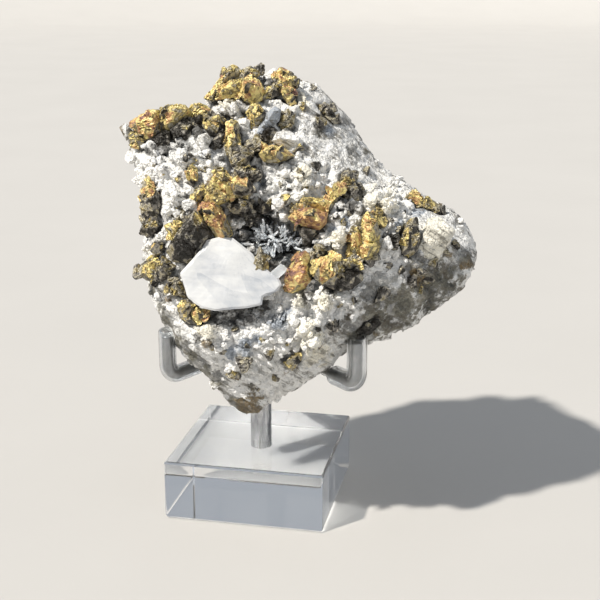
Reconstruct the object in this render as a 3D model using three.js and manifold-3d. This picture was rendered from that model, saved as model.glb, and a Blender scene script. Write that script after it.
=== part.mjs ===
// A chalcopyrite specimen on its display stand.
//
// A lump of white calcite and quartz rock carries brass-yellow chalcopyrite crystals, a tabular
// calcite blade and a pocket lined with quartz needles. It rests on three bent rods that spread
// from a round post, and the post stands in a clear square block.
//
// Units are millimetres, +Z is up. The origin is the centre of the block's underside.

import * as THREE from 'three';
import { ConvexGeometry } from 'three/addons/geometries/ConvexGeometry.js';
import { mergeVertices } from 'three/addons/utils/BufferGeometryUtils.js';
import Module from 'manifold-3d';

const wasm = await Module();
wasm.setup();

// Driving dimensions of the stand

const GAP = 0.3;                 // clearance between touching pieces

const BLOCK_SIDE = 50.8;         // 2 inch square block
const BLOCK_HEIGHT = 19.05;      // 3/4 inch thick
const BLOCK_CHAMFER = 0.8;

const POST_RADIUS = 3.45;
const POST_SOCKET = 8;           // how deep the post stands in the block
const POST_TOP = 54.6;
const POST_CHAMFER = 0.5;
const POST_SIDES = 20;

const HEAD_TURN = 11.9;          // degrees that the rods and the rock are turned on the block
const ROD_RADIUS = 1.55;
const ROD_HEIGHT = 52.2;         // height of the rods' centre line
const BEND_RADIUS = 4;
const ROD_SIDES = 8;
const ROD_STEPS = 6;

// Where each rod turns up, how high its tip is, and the sleeve over its bend: its radius, and
// where it starts as a share of the rod's reach
const RODS = [
  { name: 'left', corner: [-26.0, -32.3], tip: 64.6, sleeve: 2.55, start: 0.66 },
  { name: 'right', corner: [29.1, -39.1], tip: 64.6, sleeve: 2.95, start: 0.78 },
  { name: 'back', corner: [3.0, 22.0], tip: 60.6, sleeve: 2.55, start: 0.55 },
];
const SLEEVE_PROUD = 1.4;        // how far a sleeve stands past its rod's tip

// The rock's features are placed on its front view: a sheet of 600 by 600 steps, u to the
// right and v down, seen from EYE. A place (u, v) and a depth y, in millimetres behind the
// post's axis, give one point.
const EYE = new THREE.Vector3(12.75, -351.4, 169.0);
const SHEET_CENTRE = 300;
const SHEET_DISTANCE = 1150.8;   // from the eye to the sheet, in steps
const LOOK_DOWN = THREE.MathUtils.degToRad(16.3);

// The rock's radius is measured from this point
const ROCK_CENTRE = new THREE.Vector3(12, -4, 88);
const ROCK_POINTS = 560;         // corners tried for the rock's faceted surface
const POINT_SPACING = 0.095;     // least distance between them, on a ball of radius 1
const FRONT_CROWDING = 1.25;     // above 1, more of them lie on the face than on the back
const ROCK_ROUGHNESS = 0.6;      // how far a corner may stand in or out

// Places on the rock's outline, as seen on the front view: u, v, depth
const RIM = [
  [127, 129, -15], [131, 148, -18], [146, 121, -13], [163, 114, -12], [185, 113, -12],
  [205, 114, -12], [214, 102, -9], [223, 87, -6], [233, 75, -5], [250, 73, -5],
  [270, 77, -5], [297, 80, -3], [314, 83, 0], [324, 91, 2], [334, 104, 3],
  [345, 121, 5], [356, 134, 6], [366, 148, 6], [374, 160, 6], [385, 171, 4],
  [403, 182, 2], [418, 193, -2], [436, 203, -6], [455, 213, -10], [465, 222, -13],
  [470, 240, -17], [475, 256, -20], [472, 270, -22], [464, 281, -24], [449, 299, -27],
  [424, 307, -28], [421, 318, -30], [414, 326, -31], [389, 332, -33], [371, 339, -35],
  [346, 346, -36], [330, 367, -35], [314, 377, -34], [298, 388, -31], [282, 397, -27],
  [269, 401, -24], [259, 408, -24], [247, 413, -25], [234, 407, -27], [226, 397, -29],
  [212, 380, -33], [202, 371, -35], [189, 357, -37], [177, 336, -38], [169, 318, -38],
  [161, 299, -37], [157, 283, -35], [146, 268, -31], [146, 245, -29], [146, 225, -28],
  [144, 200, -26], [146, 182, -24], [141, 165, -22],
];

// Places on its face
const FACE = [
  [150, 170, -27], [150, 140, -21], [170, 145, -22], [172, 122, -19], [200, 125, -18],
  [205, 150, -27], [190, 175, -31], [165, 195, -32], [160, 225, -33], [160, 255, -35],
  [185, 205, -34], [230, 190, -34], [215, 165, -30], [235, 135, -24], [235, 105, -17],
  [250, 88, -12], [280, 88, -11], [262, 115, -19], [285, 115, -18], [300, 100, -13],
  [320, 110, -10], [320, 135, -16], [345, 150, -14], [300, 150, -24], [275, 165, -27],
  [260, 150, -26], [300, 190, -32], [270, 200, -31], [250, 185, -31], [330, 175, -24],
  [355, 175, -18], [380, 185, -14], [340, 200, -32], [370, 200, -28], [405, 205, -22],
  [430, 215, -20], [450, 235, -22], [440, 255, -30], [415, 240, -33], [380, 240, -38],
  [350, 235, -39], [325, 235, -37], [320, 265, -42], [350, 275, -43], [385, 270, -38],
  [420, 275, -34], [450, 270, -27], [300, 300, -44], [330, 300, -44], [360, 300, -42],
  [400, 300, -36], [430, 295, -31], [350, 325, -41], [385, 320, -36], [320, 345, -42],
  [290, 330, -45], [260, 330, -45], [230, 335, -44], [200, 325, -42], [180, 305, -40],
  [185, 345, -40], [215, 360, -40], [250, 360, -42], [290, 365, -40], [320, 365, -38],
  [270, 390, -33], [240, 390, -34], [220, 285, -38], [200, 265, -37], [175, 270, -37],
  [190, 240, -36], [215, 225, -34], [250, 235, -33], [275, 255, -34], [290, 275, -37],
  [245, 300, -38], [215, 305, -39], [270, 300, -39],
];

// Behind the outline the flanks run back and draw in. Each ring is the outline's upper part,
// moved a share of the way to BACK_DEPTH and drawn in by a share towards BACK_MIDDLE.
const BACK_DEPTH = 34;
const BACK_MIDDLE = [300, 235];
const BACK_RINGS = [
  { back: 0.3, inward: 0.045 },
  { back: 0.65, inward: 0.12 },
  { back: 0.92, inward: 0.36 },
];
const RING_LOWEST = 330;         // only places above this v are carried back
const RING_EVERY = 2;            // and only every second one

// Places on the underside: x, y, z
const UNDERSIDE = [
  [0, -7, 57], [-5, -14, 51], [6, -14, 51], [-2, -19, 44], [-14, -14, 59], [15, -16, 58],
  [-22, -22, 62], [26, -22, 61], [40, -18, 65], [-12, 2, 61], [10, 2, 60], [28, 0, 64],
  [2, 20, 68], [20, 24, 76], [-10, 22, 78], [6, 34, 94], [24, 33, 100],
];

// Flat breaks on the rock's back: a direction and how far the break lies from ROCK_CENTRE
const BREAKS = [
  { facing: [0.08, 0.98, 0.16], distance: 33.5 },
  { facing: [0.66, 0.72, -0.2], distance: 44 },
  { facing: [-0.7, 0.68, 0.2], distance: 43 },
  { facing: [0.28, 0.62, 0.73], distance: 40.5 },
  { facing: [0.1, 0.62, -0.78], distance: 33 },
  { facing: [-0.5, 0.6, -0.62], distance: 37 },
  { facing: [0.4, 0.9, -0.3], distance: 38 },
  { facing: [-0.35, 0.9, -0.25], distance: 36 },
  { facing: [0.5, 0.5, -0.7], distance: 40 },
  { facing: [-0.55, 0.45, 0.7], distance: 48 },
  { facing: [-0.1, 0.85, 0.5], distance: 39 },
];

// Crystals and lumps. Each has its outline on the front view, the corners that stand in front
// of it (u, v, rise in mm), how far it stands proud of the rock, and how deep its root goes.
// Where the outline's middle lies off the rock, `at` gives its depth.
const CHALCOPYRITE = {
  left_top: [
    { outline: [[130, 126], [139, 116], [148, 110], [158, 110], [162, 116],
      [157, 134], [151, 141], [142, 139]],
      front: [[136, 123, 3], [152, 116, 4.5], [155, 127, 4.5], [146, 133, 3.5]],
      proud: 1, root: 8 },
    { outline: [[129, 139], [133, 133], [141, 135], [144, 142], [139, 149], [131, 148]],
      front: [[136, 140, 2]], proud: 0.6, root: 5 },
    { outline: [[150, 142], [156, 132], [165, 129], [172, 135], [171, 148], [164, 156],
      [155, 154]], front: [[160, 136, 1.5], [163, 146, 1.5]], proud: -1.5, root: 5 },
  ],
  cracked: [
    { outline: [[160, 110], [167, 105], [185, 105], [190, 112], [188, 118],
      [171, 130], [165, 131], [160, 125]],
      front: [[165, 110, 3], [176, 108, 4], [186, 111, 3.5], [167, 124, 3.5]],
      proud: 1, root: 7 },
    { outline: [[170, 129], [178, 120], [187, 117], [194, 126], [191, 139], [183, 146],
      [174, 142]], front: [[187, 127, 2], [177, 133, 1]], proud: -1, root: 6 },
    { outline: [[187, 113], [192, 105], [200, 103], [207, 106], [213, 113], [212, 119],
      [202, 121], [189, 120]], front: [[195, 108, 3], [205, 110, 3.5], [198, 116, 2.5]],
      proud: 0.8, root: 6 },
    { outline: [[188, 122], [194, 117], [203, 117], [204, 127], [198, 134], [190, 131]],
      front: [[195, 123, 1.5]], proud: -0.5, root: 5 },
  ],
  grooved: [
    { outline: [[202, 125], [206, 118], [214, 115], [223, 117], [228, 122], [225, 129],
      [217, 136], [209, 134]], front: [[209, 121, 3], [218, 119, 3], [219, 128, 3]],
      proud: 0.8, root: 6 },
    { outline: [[210, 153], [212, 141], [218, 129], [228, 126], [229, 146], [222, 150],
      [215, 160]], front: [[222, 138, 1]], proud: -1.2, root: 6 },
  ],
  column: [
    { outline: [[226, 123], [232, 120], [239, 123], [240, 144], [236, 154], [229, 153],
      [226, 140]], front: [[233, 125, 2.5], [236, 138, 3], [230, 146, 3]],
      proud: 0.8, root: 5 },
    { outline: [[229, 150], [238, 145], [247, 148], [252, 155], [247, 164], [238, 170],
      [231, 166]], front: [[240, 152, 3], [246, 157, 3], [236, 163, 2]],
      proud: 0.6, root: 5 },
    { outline: [[242, 147], [248, 140], [256, 139], [265, 145], [262, 151], [250, 153]],
      front: [[251, 144, 2], [259, 146, 2]], proud: 0.4, root: 5 },
  ],
  crown: [
    { outline: [[206, 99], [217, 84], [226, 69], [232, 65], [238, 67],
      [241, 72], [224, 92], [214, 101]],
      front: [[229, 73, 2.5], [221, 84, 2.5], [213, 94, 2]], proud: 0.5, root: 6, at: -9 },
    { outline: [[234, 79], [240, 70], [250, 66], [260, 69], [262, 74], [254, 80],
      [243, 82]], front: [[246, 72, 2], [255, 73, 2]], proud: 0, root: 6, at: -8 },
    { outline: [[215, 100], [220, 90], [230, 80], [243, 79], [246, 90], [240, 97],
      [228, 98]], front: [[226, 89, 3], [236, 84, 3.5], [240, 91, 3]], proud: 1, root: 6 },
    { outline: [[240, 93], [243, 82], [250, 77], [259, 80], [265, 90], [262, 100],
      [253, 104], [244, 101]], front: [[247, 84, 4], [256, 86, 4.5], [252, 97, 3]],
      proud: 1, root: 6 },
  ],
  crown_right: [
    { outline: [[271, 77], [274, 71], [282, 72], [290, 73], [297, 77], [298, 84],
      [289, 88], [277, 85]], front: [[279, 77, 3], [290, 79, 3.5]], proud: 0.6, root: 6,
      at: -11 },
    { outline: [[279, 87], [285, 81], [292, 83], [297, 92], [297, 104], [289, 106],
      [283, 97]], front: [[287, 88, 3], [293, 95, 2.5]], proud: 0.6, root: 5 },
    { outline: [[262, 97], [267, 88], [275, 83], [284, 86], [282, 94], [271, 98]],
      front: [[273, 89, 2.5]], proud: 0.4, root: 5 },
  ],
  under_crown: [
    { outline: [[247, 113], [250, 105], [257, 103], [264, 110], [267, 117], [262, 124],
      [255, 127], [249, 121]], front: [[254, 109, 3], [261, 115, 3.5], [254, 119, 3]],
      proud: 0.6, root: 5 },
  ],
  shaded: [
    { outline: [[257, 138], [262, 130], [269, 125], [277, 131], [274, 141], [266, 145],
      [259, 143]], front: [[268, 131, 1.5]], proud: -0.2, root: 5 },
  ],
  lens: [
    { outline: [[259, 154], [264, 147], [272, 145], [284, 148], [294, 156], [286, 160],
      [276, 163], [264, 162]], front: [[268, 151, 3.5], [280, 152, 4], [288, 156, 2.5]],
      proud: 1, root: 5 },
  ],
  heart: [
    { outline: [[204, 200], [206, 189], [213, 178], [222, 180], [228, 192], [226, 203],
      [212, 207]], front: [[213, 187, 3.5], [220, 197, 3.5]], proud: 1, root: 6 },
    { outline: [[211, 180], [217, 171], [224, 170], [232, 178], [224, 186]],
      front: [[221, 176, 2.5]], proud: 1, root: 6 },
    { outline: [[217, 187], [224, 181], [233, 185], [233, 197], [226, 202]],
      front: [[225, 189, 4]], proud: 1, root: 6 },
    { outline: [[228, 183], [237, 176], [248, 178], [254, 190], [248, 199], [233, 198]],
      front: [[235, 184, 5], [246, 188, 4.5]], proud: 1, root: 7 },
    { outline: [[231, 176], [236, 169], [246, 167], [256, 170], [263, 176], [256, 182],
      [244, 183], [235, 181]], front: [[239, 173, 2], [251, 173, 2.5]],
      proud: 0.6, root: 5 },
    { outline: [[229, 205], [236, 198], [246, 198], [251, 207], [243, 215], [233, 213]],
      front: [[239, 206, 2.5]], proud: 0.4, root: 6 },
    { outline: [[240, 207], [248, 203], [258, 207], [261, 216], [253, 223], [244, 220]],
      front: [[249, 209, 2], [254, 216, 1.5]], proud: -1, root: 6 },
    { outline: [[200, 206], [209, 201], [218, 204], [226, 217], [232, 234], [227, 243],
      [219, 241], [206, 225]], front: [[209, 209, 4], [221, 229, 5]], proud: 1, root: 8 },
  ],
  heart_left: [
    { outline: [[190, 197], [196, 191], [203, 183], [206, 190], [201, 200], [192, 203]],
      front: [[199, 192, 2]], proud: 0.8, root: 5 },
  ],
  seed_upper: [
    { outline: [[187, 174], [192, 170], [198, 173], [198, 181], [190, 180]],
      front: [[194, 174, 1.8]], proud: 1.4, root: 5 },
  ],
  left_flank: [
    { outline: [[141, 190], [144, 180], [149, 176], [154, 184], [156, 193], [151, 203],
      [142, 203]], front: [[148, 185, 2.5], [151, 194, 3]], proud: 1, root: 6 },
    { outline: [[140, 202], [146, 195], [157, 193], [161, 205], [157, 216], [149, 223],
      [143, 220], [141, 210]], front: [[150, 201, 3.5], [153, 212, 3]], proud: 1, root: 7 },
    { outline: [[142, 230], [147, 220], [155, 217], [158, 227], [153, 235], [147, 238]],
      front: [[150, 227, 2]], proud: 0.6, root: 5 },
  ],
  dark_face: [
    { outline: [[167, 251], [171, 241], [190, 215], [196, 210],
      [212, 233], [204, 243], [200, 257], [187, 263], [173, 261]],
      front: [[175, 245, 4], [189, 226, 5], [178, 254, 3]], proud: 1, root: 8 },
    { outline: [[169, 229], [174, 221], [182, 221], [184, 228], [178, 236], [171, 238]],
      front: [[175, 227, 2]], proud: 1, root: 6 },
  ],
  left_spur: [
    { outline: [[138, 273], [141, 265], [150, 256], [159, 258], [160, 270], [155, 283],
      [146, 280]], front: [[149, 264, 3], [150, 273, 3]], proud: 1, root: 8 },
    { outline: [[155, 261], [164, 260], [172, 267], [170, 277], [161, 282], [154, 275]],
      front: [[162, 268, 3.5]], proud: 1, root: 7 },
  ],
  left_seed: [
    { outline: [[150, 250], [154, 243], [162, 245], [162, 254], [154, 257]],
      front: [[156, 248, 1.8]], proud: 1, root: 5 },
  ],
  kite: [
    { outline: [[167, 289], [171, 281], [176, 277], [181, 281], [186, 294], [173, 296]],
      front: [[176, 284, 2.6], [179, 291, 2]], proud: 1, root: 6 },
  ],
  on_blade: [
    { outline: [[251, 268], [255, 258], [261, 250], [267, 257], [269, 272], [262, 275],
      [254, 273]], front: [[259, 259, 2.4], [263, 268, 2.4]], proud: 5, root: 7 },
  ],
  below_blade: [
    { outline: [[177, 306], [183, 300], [191, 304], [197, 311], [193, 321], [188, 325],
      [180, 318]], front: [[186, 307, 2.6], [187, 317, 2]], proud: 1, root: 6 },
    { outline: [[188, 311], [197, 307], [206, 312], [207, 318], [199, 322], [190, 322]],
      front: [[198, 312, 2.6]], proud: 1, root: 6 },
  ],
  wedge: [
    { outline: [[288, 218], [296, 211], [306, 207], [318, 209], [327, 214], [326, 223],
      [319, 231], [305, 228], [296, 225]],
      front: [[298, 217, 3], [312, 213, 5], [320, 222, 6]], proud: 1.5, root: 7 },
    { outline: [[296, 225], [306, 225], [319, 228], [317, 237], [309, 243], [303, 240]],
      front: [[309, 232, 3]], proud: 0.5, root: 8 },
    { outline: [[293, 211], [299, 203], [308, 198], [320, 199], [331, 202], [330, 210],
      [320, 213], [303, 214]], front: [[304, 204, 2], [317, 203, 2.5]],
      proud: 0.5, root: 6 },
  ],
  pale_ridge: [
    { outline: [[340, 185], [342, 174], [348, 168], [354, 173], [357, 185], [350, 191],
      [343, 189]], front: [[347, 175, 3], [350, 182, 3]], proud: 1, root: 6 },
    { outline: [[322, 201], [328, 192], [337, 185], [345, 183], [347, 191], [337, 199],
      [329, 204]], front: [[331, 193, 2.5], [340, 188, 2.5]], proud: 0.8, root: 6 },
    { outline: [[344, 190], [351, 183], [361, 183], [365, 190], [359, 200], [350, 203],
      [344, 198]], front: [[355, 190, 2]], proud: 0.3, root: 6 },
  ],
  bright: [
    { outline: [[360, 230], [363, 220], [370, 215], [377, 221], [380, 236], [376, 246],
      [366, 248], [360, 242]], front: [[366, 223, 3.5], [372, 229, 4.5], [369, 240, 4]],
      proud: 1, root: 6 },
    { outline: [[359, 247], [366, 242], [379, 240], [380, 247], [375, 257], [369, 262],
      [362, 259]], front: [[369, 248, 4], [367, 256, 3]], proud: 1, root: 6 },
    { outline: [[373, 226], [375, 212], [377, 204], [383, 211], [382, 224]],
      front: [[378, 213, 1.8]], proud: 1.2, root: 5 },
    { outline: [[346, 256], [349, 240], [355, 228], [363, 226], [364, 246], [360, 258]],
      front: [[355, 236, 2.5], [355, 248, 2]], proud: 0.5, root: 6 },
  ],
  oblong: [
    { outline: [[285, 281], [287, 272], [298, 254], [305, 251], [311, 256],
      [311, 280], [305, 288], [291, 293], [287, 288]],
      front: [[291, 272, 4], [301, 258, 3.5], [305, 270, 4.5], [298, 284, 5]],
      proud: 1, root: 8 },
  ],
  lower_group: [
    { outline: [[310, 270], [315, 261], [325, 256], [336, 255], [344, 261], [346, 270],
      [341, 281], [334, 289], [322, 284], [314, 277]],
      front: [[319, 266, 3.5], [331, 262, 4.5], [335, 275, 5.5]], proud: 1, root: 8 },
    { outline: [[332, 287], [342, 272], [354, 268], [363, 273], [362, 281], [352, 289],
      [341, 291]], front: [[346, 276, 3.5], [355, 276, 3]], proud: 0.8, root: 7 },
    { outline: [[338, 268], [342, 260], [350, 257], [358, 259], [361, 266], [352, 272],
      [344, 272]], front: [[349, 262, 3.5]], proud: 1, root: 6 },
    { outline: [[313, 257], [317, 247], [323, 245], [326, 251], [325, 262], [317, 264]],
      front: [[319, 251, 2.5]], proud: 1, root: 6 },
  ],
  right: [
    { outline: [[401, 244], [403, 234], [408, 222], [413, 219], [418, 226], [421, 240],
      [417, 251], [409, 257], [402, 253]],
      front: [[409, 229, 3], [415, 238, 2.5], [408, 247, 3.5]], proud: 0.8, root: 6 },
  ],
  rim: [
    { outline: [[405, 197], [412, 193], [421, 196], [429, 204], [432, 210], [421, 207]],
      front: [[413, 197, 1.6], [423, 202, 1.6]], proud: 0.4, root: 5 },
    { outline: [[427, 207], [432, 201], [441, 205], [445, 211], [437, 214]],
      front: [[436, 207, 1.6]], proud: 0.4, root: 5 },
  ],
  slope_high: [
    { outline: [[320, 106], [325, 102], [332, 109], [341, 122], [334, 124], [325, 116]],
      front: [[328, 109, 2]], proud: 0.6, root: 5 },
  ],
  slope_left: [
    { outline: [[279, 125], [282, 114], [288, 109], [295, 115], [294, 125], [286, 128]],
      front: [[287, 116, 1.8]], proud: 0.5, root: 5 },
  ],
  middle_seed: [
    { outline: [[255, 209], [261, 202], [270, 202], [272, 210], [262, 214]],
      front: [[263, 206, 2]], proud: 0.6, root: 5 },
  ],
  chin_right: [
    { outline: [[282, 364], [290, 357], [301, 353], [301, 362], [292, 371]],
      front: [[292, 361, 2.2]], proud: 0.6, root: 5 },
  ],
  right_low: [
    { outline: [[359, 332], [366, 324], [378, 319], [381, 324], [370, 335], [362, 336]],
      front: [[368, 327, 1.5]], proud: 0.4, root: 5 },
  ],
};

// Blocks and rounded lumps of white quartz and calcite that are grown into the rock
const WHITE_BLOCKS = [
  { outline: [[122, 128], [126, 123], [130, 127], [130, 137], [126, 141]],
    front: [[126, 130, 1.5]], proud: 0.5, root: 5, at: -16 },
  { outline: [[196, 142], [199, 135], [207, 133], [211, 140], [208, 148], [200, 150]],
    front: [[203, 137, 2.5], [205, 144, 2]], proud: 0.8, root: 5 },
  { outline: [[216, 113], [223, 98], [234, 96], [245, 104], [247, 115], [239, 121],
    [223, 120]], front: [[225, 106, 3], [239, 108, 3], [231, 115, 3]], proud: 0.6, root: 5 },
  { outline: [[256, 136], [258, 128], [268, 112], [275, 107], [281, 110], [279, 121],
    [268, 126], [260, 137]], front: [[273, 112, 2.5], [262, 130, 2]], proud: 0.8, root: 5 },
  { outline: [[147, 168], [153, 160], [166, 160], [176, 167], [172, 175], [156, 177]],
    front: [[157, 165, 3], [168, 168, 3]], proud: 0.8, root: 6 },
  { outline: [[171, 158], [180, 150], [203, 151], [211, 160], [198, 168], [178, 167]],
    front: [[182, 156, 3], [202, 157, 3]], proud: 0.6, root: 6 },
  { outline: [[167, 195], [176, 187], [188, 189], [191, 200], [180, 209], [169, 205]],
    front: [[176, 194, 3], [184, 200, 3]], proud: 0.6, root: 6 },
  { outline: [[272, 141], [277, 132], [290, 131], [303, 140], [301, 148], [283, 147]],
    front: [[281, 138, 2.5], [294, 140, 2]], proud: 0.6, root: 5 },
  { outline: [[290, 184], [292, 171], [304, 163], [316, 170], [317, 186], [308, 197],
    [295, 196]], front: [[299, 175, 4], [309, 184, 4]], proud: 0.8, root: 7 },
  { outline: [[268, 201], [276, 194], [287, 197], [287, 208], [277, 212]],
    front: [[278, 201, 3]], proud: 0.8, root: 6 },
  { outline: [[325, 242], [330, 231], [341, 225], [351, 229], [350, 239], [336, 251]],
    front: [[338, 232, 3.5], [333, 242, 3]], proud: 0.8, root: 7 },
  { outline: [[354, 207], [362, 195], [381, 188], [397, 193], [403, 206], [388, 216],
    [363, 217]], front: [[370, 200, 4], [389, 203, 4]], proud: 0.6, root: 8 },
  { outline: [[414, 255], [421, 235], [428, 219], [440, 218], [455, 231], [447, 247],
    [434, 267]], front: [[426, 251, 3.5], [453, 231, 1.5], [430, 231, 3.5]], proud: 1,
    root: 8 },
  { outline: [[289, 301], [294, 292], [303, 293], [311, 302], [305, 312], [297, 316]],
    front: [[299, 299, 3.5]], proud: 0.8, root: 6 },
  { outline: [[315, 299], [321, 290], [331, 290], [337, 299], [331, 309], [320, 309]],
    front: [[326, 295, 3.5]], proud: 0.8, root: 6 },
  { outline: [[191, 334], [196, 323], [206, 317], [218, 321], [221, 334], [205, 342]],
    front: [[204, 325, 3], [212, 332, 3]], proud: 0.6, root: 7 },
  { outline: [[259, 325], [268, 312], [284, 309], [292, 318], [289, 332], [268, 336]],
    front: [[273, 319, 3], [284, 320, 3]], proud: 0.4, root: 7 },
  { outline: [[296, 330], [308, 315], [324, 319], [329, 338], [314, 352], [300, 346]],
    front: [[310, 325, 3], [315, 339, 3]], proud: 0.4, root: 7 },
];

// Crystals that sit on the rock's back and top: which way they face from ROCK_CENTRE, their
// half width, and how far they are turned, in degrees
const BACK_CRYSTALS = [
  { name: 'back_upper', facing: [0.3, 0.72, 0.62], size: 5.5, turn: 20 },
  { name: 'back_left', facing: [-0.78, 0.5, 0.38], size: 5, turn: 65 },
  { name: 'back_middle', facing: [0.12, 0.98, -0.05], size: 6, turn: 110 },
  { name: 'back_right', facing: [0.86, 0.5, -0.1], size: 5, turn: 15 },
  { name: 'back_low', facing: [-0.42, 0.72, -0.55], size: 4.5, turn: 80 },
];

// Cleaved calcite steps on the back, given in the same way
const BACK_STEPS = [
  { facing: [-0.35, 0.9, 0.25], size: 9, turn: 25 },
  { facing: [0.55, 0.8, 0.2], size: 10, turn: 70 },
  { facing: [-0.1, 0.75, 0.66], size: 8, turn: 50 },
  { facing: [0.45, 0.75, -0.48], size: 8, turn: 10 },
  { facing: [-0.85, 0.45, -0.2], size: 7, turn: 40 },
  { facing: [0.02, 0.88, -0.47], size: 7, turn: 95 },
];

// Hollows in the face: the outline of the mouth, the depths of mouth and floor, and the
// floor's size as a share of the mouth's. The first is the pocket of the quartz needles.
const HOLLOWS = [
  { outline: [[236, 226], [250, 214], [284, 214], [304, 226], [318, 240], [304, 254],
    [292, 266], [270, 266], [250, 250]], mouth: -46, floor: -22, narrowing: 0.8 },
  { outline: [[257, 82], [261, 74], [271, 75], [273, 85], [266, 92]],
    mouth: -20, floor: -5, narrowing: 0.5 },
  { outline: [[332, 206], [342, 200], [352, 206], [346, 216], [336, 222]],
    mouth: -46, floor: -27, narrowing: 0.5 },
  { outline: [[305, 293], [309, 282], [319, 280], [322, 288], [314, 298]],
    mouth: -54, floor: -36, narrowing: 0.5 },
];

// Quartz needles in the pocket, in two bunches: where a bunch is rooted, and each needle's tip
const NEEDLE_BUNCHES = [
  { root: [273, 238], tips: [[257, 227, -33], [263, 222, -31], [270, 221, -34],
    [279, 219, -33], [267, 244, -36], [263, 235, -35], [269, 256, -32]] },
  { root: [291, 241], tips: [[286, 222, -33], [297, 229, -35], [302, 237, -35],
    [309, 242, -33], [299, 251, -33], [286, 254, -32], [292, 246, -36]] },
];
const NEEDLE_ROOT_DEPTH = -21;
const NEEDLE_HALF = 0.95;        // half width of a needle
const NEEDLE_FLARE = 1.25;       // how much wider its root is
const NEEDLE_SIDES = 6;
const NEEDLE_POINT = 0.82;       // where the prism ends and its point begins
const NEEDLE_BED = { half: 2.6, top: -26 };

// The calcite blade leans out of the face: its lower edge stands furthest forward
const BLADE_FOOT = 311;          // v of the lower edge
const BLADE_FOOT_DEPTH = -47;
const BLADE_LEAN = 0.125;        // mm deeper for each step up the front view
const BLADE_LAYERS = [
  { outline: [[180, 273], [189, 263], [203, 247], [207, 240], [219, 237], [233, 238],
    [253, 254], [261, 268], [263, 296], [262, 305], [248, 308], [215, 311], [202, 308],
    [188, 298]], set: 0, thick: 2.8 },
  { outline: [[240, 262], [252, 254], [270, 272], [281, 281], [280, 289], [269, 296],
    [250, 298]], set: 0.5, thick: 1.9 },
];

// Colours
const FINISH = {
  acrylic: { color: 0xe9eef2, roughness: 0.05, metalness: 0, transparent: true, opacity: 0.35 },
  steel: { color: 0xa9abae, roughness: 0.3, metalness: 1 },
  darkSteel: { color: 0x55565a, roughness: 0.35, metalness: 1 },
  sleeve: { color: 0xcfc8ba, roughness: 0.2, metalness: 0, transparent: true, opacity: 0.45 },
  rock: { color: 0xd9d8d2, roughness: 0.8, metalness: 0 },
  chalcopyrite: { color: 0xa98235, roughness: 0.4, metalness: 0.8 },
  calcite: { color: 0xf1f0ec, roughness: 0.35, metalness: 0 },
  quartz: { color: 0xc4cbd2, roughness: 0.15, metalness: 0, transparent: true, opacity: 0.6 },
};

// Solids and meshes

function solidOf(geometry) {
  const plain = geometry.clone();
  plain.deleteAttribute('normal');
  plain.deleteAttribute('uv');
  const merged = mergeVertices(plain, 1e-4);
  return new wasm.Manifold(new wasm.Mesh({
    numProp: 3,
    vertProperties: new Float32Array(merged.attributes.position.array),
    triVerts: new Uint32Array(merged.index.array),
  }));
}

function geometryOf(solid) {
  const mesh = solid.getMesh();
  const geometry = new THREE.BufferGeometry();
  geometry.setAttribute('position', new THREE.BufferAttribute(mesh.vertProperties, 3));
  geometry.setIndex(new THREE.BufferAttribute(mesh.triVerts, 1));
  geometry.computeVertexNormals();
  return geometry;
}

function join(solids) {
  return solids.reduce((sum, solid) => sum.add(solid));
}

// A cut can leave loose chips. Only the largest body is kept.
function largestBody(solid) {
  const bodies = solid.decompose();
  return bodies.reduce((a, b) => (b.volume() > a.volume() ? b : a));
}

function named(name, geometry, finish) {
  const mesh = new THREE.Mesh(geometry, new THREE.MeshStandardMaterial(FINISH[finish]));
  mesh.name = name;
  return mesh;
}

// Places on the front view

function ray(u, v) {
  const right = u - SHEET_CENTRE;
  const up = SHEET_CENTRE - v;
  return new THREE.Vector3(
    right,
    SHEET_DISTANCE * Math.cos(LOOK_DOWN) + up * Math.sin(LOOK_DOWN),
    up * Math.cos(LOOK_DOWN) - SHEET_DISTANCE * Math.sin(LOOK_DOWN),
  );
}

function place(u, v, y) {
  const line = ray(u, v);
  return EYE.clone().addScaledVector(line, (y - EYE.y) / line.y);
}

function middleOf(outline) {
  const sum = outline.reduce(([a, b], [u, v]) => [a + u, b + v], [0, 0]);
  return sum.map((value) => value / outline.length);
}

function drawnIn([u, v], [um, vm], share) {
  return [u + share * (um - u), v + share * (vm - v)];
}

// The rock's surface: its radius in any direction is a sum of cones, one about each measured
// place, weighted so that the surface passes through every one of them. The flat breaks on
// its back then limit it.

function solveLinear(matrix, right) {
  const n = right.length;
  const rows = matrix.map((row, i) => [...row, right[i]]);
  for (let c = 0; c < n; c += 1) {
    let best = c;
    for (let r = c + 1; r < n; r += 1) {
      if (Math.abs(rows[r][c]) > Math.abs(rows[best][c])) best = r;
    }
    [rows[c], rows[best]] = [rows[best], rows[c]];
    for (let r = c + 1; r < n; r += 1) {
      const share = rows[r][c] / rows[c][c];
      for (let k = c; k <= n; k += 1) rows[r][k] -= share * rows[c][k];
    }
  }
  const answer = new Array(n).fill(0);
  for (let r = n - 1; r >= 0; r -= 1) {
    let rest = rows[r][n];
    for (let k = r + 1; k < n; k += 1) rest -= rows[r][k] * answer[k];
    answer[r] = rest / rows[r][r];
  }
  return answer;
}

const backPlaces = BACK_RINGS.flatMap(({ back, inward }) => RIM
  .filter(([, v], i) => v < RING_LOWEST && i % RING_EVERY === 0)
  .map(([u, v, y]) => place(
    ...drawnIn([u, v], BACK_MIDDLE, inward),
    y + back * (BACK_DEPTH - y),
  )));

const measured = [
  ...[...RIM, ...FACE].map(([u, v, y]) => place(u, v, y)),
  ...backPlaces,
  ...UNDERSIDE.map(([x, y, z]) => new THREE.Vector3(x, y, z)),
].map((point) => point.sub(ROCK_CENTRE));
const measuredRadii = measured.map((offset) => offset.length());
const measuredDirections = measured.map((offset) => offset.clone().normalize());

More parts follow.
